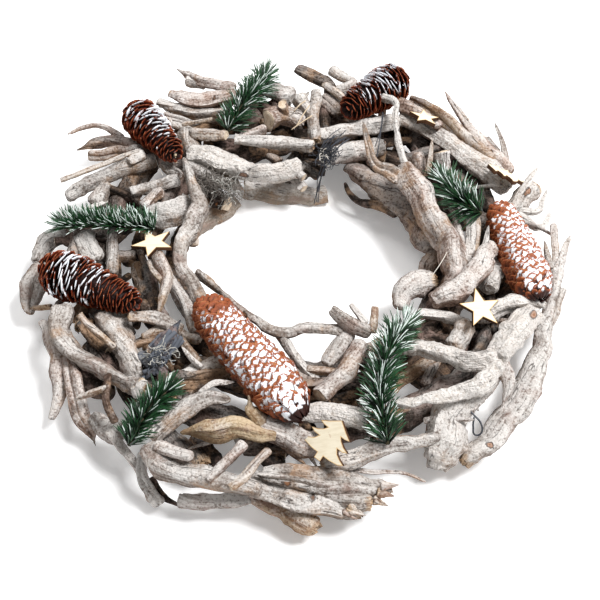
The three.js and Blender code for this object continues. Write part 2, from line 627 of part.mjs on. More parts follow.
Object.entries(SPRIGS).forEach(([name, sprig], index) => {
  const solid = sprigSolid(sprig, 200 + index);
  place(name, solid, solid, COLOURS.fir);
});

export default wreath;
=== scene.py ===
"""A driftwood advent wreath: bleached sticks, snowy cones, fir sprigs and plywood shapes on a pale floor."""

import json
import math
import random
from contextlib import contextmanager

import bpy
import numpy as np
from mathutils import Euler, Matrix, Vector

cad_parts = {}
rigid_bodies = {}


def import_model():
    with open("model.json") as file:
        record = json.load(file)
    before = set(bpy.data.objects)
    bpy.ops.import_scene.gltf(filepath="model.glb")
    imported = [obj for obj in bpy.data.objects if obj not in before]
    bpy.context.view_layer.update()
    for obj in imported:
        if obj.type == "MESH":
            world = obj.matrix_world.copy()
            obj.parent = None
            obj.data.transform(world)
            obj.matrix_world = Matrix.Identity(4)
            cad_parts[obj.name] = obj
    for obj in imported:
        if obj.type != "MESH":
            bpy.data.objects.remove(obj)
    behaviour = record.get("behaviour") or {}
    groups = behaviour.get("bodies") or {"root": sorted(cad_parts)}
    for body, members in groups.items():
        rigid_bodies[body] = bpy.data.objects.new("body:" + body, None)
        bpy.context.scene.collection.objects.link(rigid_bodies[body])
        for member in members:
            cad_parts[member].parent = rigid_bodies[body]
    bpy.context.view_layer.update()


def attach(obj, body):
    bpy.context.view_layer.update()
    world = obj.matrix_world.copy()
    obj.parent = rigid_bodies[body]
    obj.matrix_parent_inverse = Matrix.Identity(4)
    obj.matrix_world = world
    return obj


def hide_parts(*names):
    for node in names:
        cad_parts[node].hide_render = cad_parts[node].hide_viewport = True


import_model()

MM = 0.001

# Places are given in millimetres from the middle of the hole, which lies this far from the wreath's origin
HOLE_MIDDLE = Vector((1, 13, 0))

# The wreath is this deep for a width of one
SQUASH = 0.97

UP = Vector((0, 0, 1))

# Sticks: the gap between rings of faces, the sides of a section, the longest stretch between two bends
RING_GAP = 2.2
SECTION_SIDES = 18
STRETCH = 13

# Corners of a mesh that lie closer than this are one, in metres, and the same for thin wires
WELD = 0.00001
FINE_WELD = 0.000001

# The grain map of a stick runs this many units to the metre along the grain and round it
GRAIN_ALONG = 14
GRAIN_ROUND = 100

# Plywood: its thickness, the rounding of its edges and the toasted rim of its faces
PLY = 3
PLY_EDGE = 0.15
PLY_RIM = 0.45

# Fir: the width of a needle, how thick it is for that, and the thickness of a sprig's stem
NEEDLE_WIDTH = 1.0
NEEDLE_FLATNESS = 0.7
SPRIG_STEM = 3

# Sticks of this thickness and more get the full relief, thinner ones less
FULL_RELIEF = 14

# The relief of the wood: how wide its swellings and knobs are and how far they move the surface, in metres,
# and how wide the ribs are, as the grain map measures it, and how far they stand out, in metres
SWELLING_SIZE = 0.015
SWELLING_DEPTH = 0.0034
KNOB_SIZE = 0.0055
KNOB_DEPTH = 0.0024
KNOBBLY_DEPTH = 0.0046
RIB_SIZE = 0.9
RIB_DEPTH = 0.0014

# Edges of the wood that turn more than this stay sharp, and a section turns by up to this much at each bend
SHARP_EDGE = math.radians(48)
TWIST = 0.35

# Where the random draws of the bundles, the loose fill and the rim twigs start
SEEDS_PER_BUNDLE = 50
BASE_BUNDLE = 90
UNDER_BUNDLE = 100
LOOSE_BUNDLE = 110
TUCKED_BUNDLE = 120
FILL_SEED = 700
RIM_SEED = 800


def at(x, y, z):
    """A place on the wreath, in metres from its origin."""
    return (Vector((x, y, z)) + HOLE_MIDDLE) * MM


# Modelling by hand


def only(*pieces):
    """Selects these pieces and nothing else."""
    bpy.ops.object.select_all(action="DESELECT")
    for piece in pieces:
        piece.select_set(True)
    bpy.context.view_layer.objects.active = pieces[0]


@contextmanager
def editing(piece, mode="VERT", test=None):
    """Edit mode on one piece, with the vertices or faces selected whose place or centre passes the test."""
    only(piece)
    bpy.ops.object.mode_set(mode="EDIT")
    bpy.ops.mesh.select_mode(type=mode)
    bpy.ops.mesh.select_all(action="SELECT" if test is None else "DESELECT")
    if test is not None:
        bpy.ops.object.mode_set(mode="OBJECT")
        parts = piece.data.vertices if mode == "VERT" else piece.data.polygons
        for part in parts:
            part.select = test(part)
        bpy.ops.object.mode_set(mode="EDIT")
    yield
    bpy.ops.object.mode_set(mode="OBJECT")


def with_settings(thing, settings):
    for name, value in settings.items():
        setattr(thing, name, value)
    return thing


def modified(piece, kind, **settings):
    """Adds one modifier and applies it."""
    modifier = with_settings(piece.modifiers.new(kind.lower(), kind), settings)
    only(piece)
    bpy.ops.object.modifier_apply(modifier=modifier.name)


def linked(name, data):
    """A new object with this data, in the scene."""
    piece = bpy.data.objects.new(name, data)
    bpy.context.collection.objects.link(piece)
    return piece


def new_curve(name, **settings):
    return with_settings(bpy.data.curves.new(name, "CURVE"), settings)


def smooth_line(curve, places):
    """Adds a smooth line through these places to a curve, and gives its points."""
    bends = curve.splines.new("BEZIER").bezier_points
    bends.add(len(places) - 1)
    for bend, place in zip(bends, places):
        bend.co = place
        bend.handle_left_type = bend.handle_right_type = "AUTO"
    return bends


def closed_outline(curve, places):
    """Adds straight lines through these places and back to the first to a curve."""
    spline = curve.splines.new("POLY")
    spline.points.add(len(places) - 1)
    for point, (x, y) in zip(spline.points, places):
        point.co = (x, y, 0, 1)
    spline.use_cyclic_u = True


def as_mesh(name, curve):
    """A piece with the mesh that a curve makes."""
    only(linked(name, curve))
    bpy.ops.object.convert(target="MESH")
    return bpy.context.view_layer.objects.active


def axes(first, second, third):
    """The matrix that lays X, Y and Z along these directions."""
    return Matrix((first, second, third)).transposed().to_4x4()


def astray(draw, spread):
    """A random shift, drawn around zero with this spread on each axis."""
    return Vector([draw.gauss(0, spread) for _ in range(3)])


def joined(pieces, name):
    """One piece made of these."""
    only(*pieces)
    if len(pieces) > 1:
        bpy.ops.object.join()
    piece = bpy.context.view_layer.objects.active
    piece.name = name
    return piece


def mark(piece, name, values):
    """Stores a number for every vertex, or the same one for all, for the materials to read."""
    numbers = np.broadcast_to(np.asarray(values, dtype=np.float32), (len(piece.data.vertices),))
    layer = piece.data.attributes.get(name) or piece.data.attributes.new(name, "FLOAT", "POINT")
    layer.data.foreach_set("value", np.ascontiguousarray(numbers))


def corners(piece):
    """The places of a piece's vertices, one row each."""
    flat = np.empty(len(piece.data.vertices) * 3, dtype=np.float32)
    piece.data.vertices.foreach_get("co", flat)
    return flat.reshape(-1, 3)


def handed_over(piece, slot, *nodes):
    """Puts a finished piece on the wreath in place of the plain solids of these nodes."""
    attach(piece, "root")
    if nodes:
        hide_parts(*nodes)


# Shader maths


class Wire:
    """A socket in a material. Sums and products with it add Math nodes."""

    def __init__(self, paint, socket):
        self.paint = paint
        self.socket = socket

    def math(self, operation, *values):
        return self.paint.node("ShaderNodeMath", {"operation": operation}, dict(enumerate(values)))

    def __add__(self, other):
        return self.math("ADD", self, other)

    def __sub__(self, other):
        return self.math("SUBTRACT", self, other)

    def __rsub__(self, other):
        return self.math("SUBTRACT", other, self)

    def __mul__(self, other):
        return self.math("MULTIPLY", self, other)

    def __abs__(self):
        return self.math("ABSOLUTE", self)

    __radd__ = __add__
    __rmul__ = __mul__


class Paint:
    """A material, with one way to add each kind of node."""

    def __init__(self, name, roughness, specular=0.3):
        self.material = bpy.data.materials.new(name)
        self.material.use_nodes = True
        self.tree = self.material.node_tree
        self.shader = self.tree.nodes["Principled BSDF"]
        self.shader.inputs["Roughness"].default_value = roughness
        self.shader.inputs["Specular IOR Level"].default_value = specular

    def feed(self, socket, value):
        if isinstance(value, Wire):
            self.tree.links.new(value.socket, socket)
        else:
            socket.default_value = value

    def node(self, kind, settings, sockets, out=0):
        node = with_settings(self.tree.nodes.new(kind), settings)
        for name, value in sockets.items():
            self.feed(node.inputs[name], value)
        return Wire(self, node.outputs[out])

    def place(self):
        return self.node("ShaderNodeTexCoord", {}, {}, out="Object")

    def stored(self, name):
        return self.node("ShaderNodeAttribute", {"attribute_name": name}, {}, out="Fac")

    def facing_up(self):
        normal = self.node("ShaderNodeNewGeometry", {}, {}, out="Normal")
        return self.node("ShaderNodeSeparateXYZ", {}, {0: normal}, out="Z")

    def moved(self, place, amount):
        return self.node("ShaderNodeVectorMath", {"operation": "ADD"}, {0: place, 1: amount})

    def scaled(self, place, amounts):
        return self.node("ShaderNodeVectorMath", {"operation": "MULTIPLY"}, {0: place, 1: amounts})

    def noise(self, place, scale, detail=3.0):
        sockets = {"Vector": place, "Scale": scale, "Detail": detail, "Roughness": 0.6}
        return self.node("ShaderNodeTexNoise", {}, sockets)

    def step(self, value, low, high):
        """0 below low, 1 above high, and smooth between them."""
        sockets = {"Value": value, "From Min": low, "From Max": high}
        return self.node("ShaderNodeMapRange", {"interpolation_type": "SMOOTHSTEP"}, sockets)

    def mix(self, share, first, second):
        sockets = {0: share, 6: first, 7: second}
        return self.node("ShaderNodeMix", {"data_type": "RGBA", "clamp_factor": True}, sockets, out=2)

    def finish(self, colour, height=None, depth=0.001):
        self.feed(self.shader.inputs["Base Color"], colour)
        if height is not None:
            bump = self.node("ShaderNodeBump", {}, {"Strength": 0.8, "Distance": depth, "Height": height})
            self.feed(self.shader.inputs["Normal"], bump)
        return self.material


def tone(red, green, blue):
    """A colour as the eye reads it, from 0 to 255, turned into the shader's light values."""
    return tuple(((share / 255 + 0.055) / 1.055) ** 2.4 for share in (red, green, blue)) + (1.0,)


WASH = tone(220, 216, 212)
TAN_STAIN = tone(168, 136, 108)
PINK_STAIN = tone(164, 138, 128)
SNOW = tone(240, 243, 248)
# Painted shade for pits and cracks, and the dark wood of knots and of an end's rim
CREVICE_SHADE_AND_DARK_WOOD = tone(50, 38, 31)
KNOT = tone(158, 104, 64)
FRESH = tone(206, 184, 158)
FRESH_DARK = tone(142, 112, 88)


def weathered_wood(name, wood, heart, cover, contrast=1.0, wash=0.84, knobbly=0.0):
    """Sun-bleached wood: fibres, a whitewash worn thin in patches, lumps, grit, pits, cracks and knots, with
    painted shade in the pits and cracks and a painted highlight that whitens the faces turned up.
    """
    paint = Paint(name, roughness=0.88, specular=0.2)
    own = paint.stored("stick")
    grain = paint.moved(paint.node("ShaderNodeUVMap", {"uv_map": "UVMap"}, {}), own * 37)
    place = paint.place()
    fibres = paint.noise(grain, 2.2, detail=6)
    fine_fibres = paint.noise(grain, 7, detail=6)
    patches = paint.noise(place, 50, detail=6)
    grit = paint.noise(place, 560, detail=6)
    pits = paint.noise(paint.moved(place, (7, 1, 4)), 260, detail=5)
    lumps = paint.noise(paint.moved(place, (2, 9, 5)), 170, detail=4)
    tints = paint.noise(paint.moved(place, (3, 5, 7)), 40, detail=5)

    # Cracks and knots
    split = abs(paint.noise(grain, 1.1, detail=3) - 0.5)
    cracks = paint.step(split, 0.01, 0.002) * paint.step(patches, 0.5, 0.58)
    knot_place = paint.scaled(grain, (GRAIN_ROUND / GRAIN_ALONG, 1, 1))
    knot_cell = {"Vector": knot_place, "Scale": 0.62}
    knot_distance = paint.node("ShaderNodeTexVoronoi", {}, knot_cell) + 0.16 * (grit - 0.5)
    knot_draw = paint.node("ShaderNodeTexVoronoi", {}, knot_cell, out="Color")
    chosen = paint.step(knot_draw, 0.66 - 0.16 * knobbly, 0.68 - 0.16 * knobbly)
    knots = paint.step(knot_distance, 0.12, 0.08) * chosen
    knot_rings = paint.step(abs(knot_distance - 0.11), 0.04, 0.01) * chosen
    knot_hearts = paint.step(knot_distance, 0.04, 0.02) * chosen

    # Layers of colour, from the bare wood to the torn ends
    bare = paint.mix(paint.step(fibres + 0.5 * (grit - 0.5), 0.36, 0.62), heart, wood)
    tanned = paint.mix(paint.step(tints, 0.51, 0.64) * 0.75, bare, TAN_STAIN)
    tinted = paint.mix(paint.step(tints, 0.47, 0.36) * 0.45, tanned, PINK_STAIN)
    # The whitewash's share: patches of real whitewash, plus a painted highlight that whitens the faces turned
    # up against the sides
    share = patches + 0.5 * grit + 0.35 * fibres + 0.3 * fine_fibres + 0.2 * paint.facing_up() + 0.24 * own
    washed_and_top_lit = paint.mix(paint.step(share, 1.2 - cover, 1.6 - cover) * wash, tinted, WASH)
    streaked = paint.mix(paint.step(fine_fibres, 0.46, 0.33) * (0.3 * contrast), washed_and_top_lit, heart)
    hollowed = paint.mix(paint.step(lumps, 0.46, 0.36) * (0.6 * knobbly), streaked, wood)
    gritty = paint.mix(paint.step(grit, 0.46, 0.34) * (0.65 * contrast), hollowed, heart)
    # Painted shade: the pits and cracks are darkened as if shade lay in them; the knots' rings and hearts are
    # their own dark wood
    pitted = paint.mix(paint.step(pits, 0.35, 0.27) * (0.75 * contrast), gritty, CREVICE_SHADE_AND_DARK_WOOD)
    cracked = paint.mix(0.7 * cracks + 0.7 * knot_rings + 0.6 * knot_hearts, pitted, CREVICE_SHADE_AND_DARK_WOOD)
    fresh = paint.step(paint.stored("fresh") + 0.7 * (fibres - 0.5) + 0.5 * (grit - 0.5), 0.34, 0.5)
    torn = paint.mix(paint.step(fine_fibres, 0.38, 0.62), FRESH_DARK, FRESH)
    knotted = paint.mix(fresh * 0.85, paint.mix(0.7 * knots, cracked, KNOT), torn)

    height = fibres + 0.8 * fine_fibres + 0.8 * grit + 0.6 * pits - 0.9 * cracks
    height = height + 0.5 * knots - 0.5 * knot_rings + (2.4 * knobbly) * lumps
    return paint.finish(knotted, height, depth=0.0028)


def end_grain(name, wood, heart):
    """A sawn or broken end: rings round the pith, dirt and a dark rim."""
    paint = Paint(name, roughness=0.8)
    dirt = paint.noise(paint.place(), 240, detail=4)
    rim = paint.stored("rim") + 0.16 * dirt
    rings = rim.math("SINE", rim * 34) * 0.5 + 0.5
    fresh = paint.mix(0.5 * rings, wood, heart)
    stained = paint.mix(paint.step(dirt, 0.45, 0.68) * 0.7, fresh, heart)
    rimmed = paint.mix(paint.step(rim, 0.98, 1.08) * 0.6, stained, CREVICE_SHADE_AND_DARK_WOOD)
    return paint.finish(rimmed, dirt + 0.3 * rings, depth=0.0012)


def cone_wood(name, root, blade, edge, padded):
    """A cone's scale, near black at the root with painted shade, pale at the edge, partly its own paler
    margin and partly a painted highlight, with snow on its face or only on its edge.
    """
    paint = Paint(name, roughness=0.55, specular=0.28)
    rim = paint.stored("rim")
    brink = paint.stored("brink")
    place = paint.place()
    patches = paint.noise(place, 90, detail=4)
    blotch = paint.noise(place, 300, detail=3)
    fine = paint.noise(place, 1100, detail=3)
    ripened = brink + 0.6 * (blotch - 0.5) + 0.5 * (fine - 0.5)
    # Painted shade: the scales' roots, deep between the scales, turn near black
    woody = paint.mix(paint.step(ripened, 0.3, 0.9) * paint.step(rim, 0.4, 0.86), root, blade)
    # The pale edge: partly the scale's own paler margin, partly a painted highlight
    edged_and_lit = paint.mix(paint.step(ripened, 0.9, 1.06) * paint.step(rim, 0.6, 0.8) * 0.75, woody, edge)
    if padded:
        ragged = brink + 0.5 * (fine - 0.5) + 0.9 * (blotch - 0.5)
        lies = paint.step(ragged, 0.88, 0.78) * paint.step(rim + 0.3 * (blotch - 0.5), 0.5, 0.6)
        chance = paint.stored("coat") + 1.2 * (patches - 0.5) + 0.5 * (blotch - 0.5)
    else:
        lies = paint.step(rim + 0.4 * (fine - 0.5) + 0.5 * (blotch - 0.5), 0.72, 0.8)
        chance = paint.stored("coat") + 2.6 * (patches - 0.5) + 0.8 * (blotch - 0.5)
    snowed = paint.mix(lies * paint.step(chance, 0.42, 0.52), edged_and_lit, SNOW)
    return paint.finish(snowed, blotch + 0.6 * fine, depth=0.0008)


def fir_green(name):
    """A needle, near black at the root with painted shade, its tip brushed with snow."""
    paint = Paint(name, roughness=0.45, specular=0.5)
    rim = paint.stored("rim")
    # Painted shade: near black at the root, where the needles crowd, turning green towards the tip
    root_shaded_leaf = paint.mix(paint.step(rim + paint.stored("stick"), 0.3, 1.8), tone(1, 10, 4), tone(32, 80, 42))
    dusting = paint.noise(paint.place(), 700, detail=2)
    cover = rim + paint.stored("coat") + 0.5 * (dusting - 0.5)
    return paint.finish(paint.mix(paint.step(cover, 1.05, 1.3), root_shaded_leaf, tone(226, 238, 232)))


def ply_face(name, light, dark):
    """Sanded birch ply with a faint straight grain."""
    paint = Paint(name, roughness=0.6)
    grain = paint.noise(paint.scaled(paint.place(), (40, 600, 300)), 1.0, detail=3)
    grained = paint.mix(paint.step(grain, 0.35, 0.75), light, dark)
    specks = paint.step(paint.noise(paint.place(), 260, detail=2), 0.7, 0.76) * 0.4
    return paint.finish(paint.mix(specks, grained, TAN_STAIN), grain, depth=0.0002)


def plain(name, colour, roughness, metallic=0.0):
    """One colour all over."""
    paint = Paint(name, roughness=roughness)
    paint.shader.inputs["Metallic"].default_value = metallic
    return paint.finish(colour)


# Woods: the bare wood, its heart and how far the whitewash covers it
WOODS = {
    "pale": weathered_wood(
        "pale_driftwood", tone(206, 197, 188), tone(146, 132, 120), 0.38, wash=0.76, knobbly=1.0
    ),
    "white": weathered_wood("white_driftwood", tone(182, 170, 160), tone(118, 102, 90), 0.2, knobbly=0.6),
    "grey": weathered_wood("grey_driftwood", tone(158, 148, 140), tone(104, 91, 82), 0.08, knobbly=0.3),
    "pink": weathered_wood("pink_driftwood", tone(174, 150, 137), tone(104, 83, 71), 0.08),
    "tan": weathered_wood("tan_driftwood", tone(180, 156, 130), tone(116, 88, 66), 0.02, wash=0.72),
    "honey": weathered_wood(
        "honey_driftwood", tone(198, 178, 148), tone(142, 116, 88), -0.02, contrast=0.6, wash=0.5
    ),
    "brown": weathered_wood("brown_driftwood", tone(130, 108, 94), tone(66, 50, 41), 0.0, wash=0.42),
    "bark": weathered_wood("barky_driftwood", tone(84, 69, 59), tone(34, 26, 21), -0.1, wash=0.3),
    # Near-black wood for sticks deep among the others: painted shade between the sticks
    "dark": weathered_wood("shaded_driftwood", tone(52, 42, 36), tone(20, 15, 12), -0.2, wash=0.2),
    "slate": weathered_wood("slate_bark", tone(96, 100, 108), tone(46, 46, 52), -0.14, wash=0.3),
    "peeled": weathered_wood("peeled_rod", tone(166, 155, 144), tone(142, 129, 116), 0.0, contrast=0.4),
}
SAWN_END = end_grain("sawn_end", tone(226, 211, 190), tone(174, 144, 114))
BROKEN_END = end_grain("broken_end", tone(204, 176, 144), tone(136, 104, 78))
# Each cone's first colour, at the scales' roots and on the core, is near-black painted shade between the
# scales; the last, at the edge, is partly a painted highlight
CONE_BROWN = cone_wood("dark_cone_scale", tone(30, 7, 2), tone(112, 42, 17), tone(188, 116, 76), False)
CONE_ORANGE = cone_wood("orange_cone_scale", tone(42, 14, 5), tone(138, 70, 37), tone(184, 122, 80), True)
FIR = fir_green("fir_needle")
STEM = plain("fir_stem", tone(58, 52, 34), 0.8)
PLYWOOD = ply_face("birch_ply", tone(220, 210, 188), tone(208, 196, 171))
SCORCHED = plain("scorched_edge", tone(74, 46, 26), 0.85)
RIM = plain("toasted_rim", tone(206, 174, 128), 0.75)
BINDING = plain("binding_wire", tone(66, 68, 74), 0.5, metallic=0.4)
THREAD = plain("glue_thread", tone(214, 208, 198), 0.5)
LICHEN = plain("pale_lichen", tone(168, 166, 160), 0.95)
GREY_LICHEN = plain("grey_lichen", tone(112, 106, 100), 0.95)
SLATE_LICHEN = plain("slate_lichen", tone(88, 92, 100), 0.9)
STALK = plain("cone_stalk", tone(196, 176, 150), 0.8)

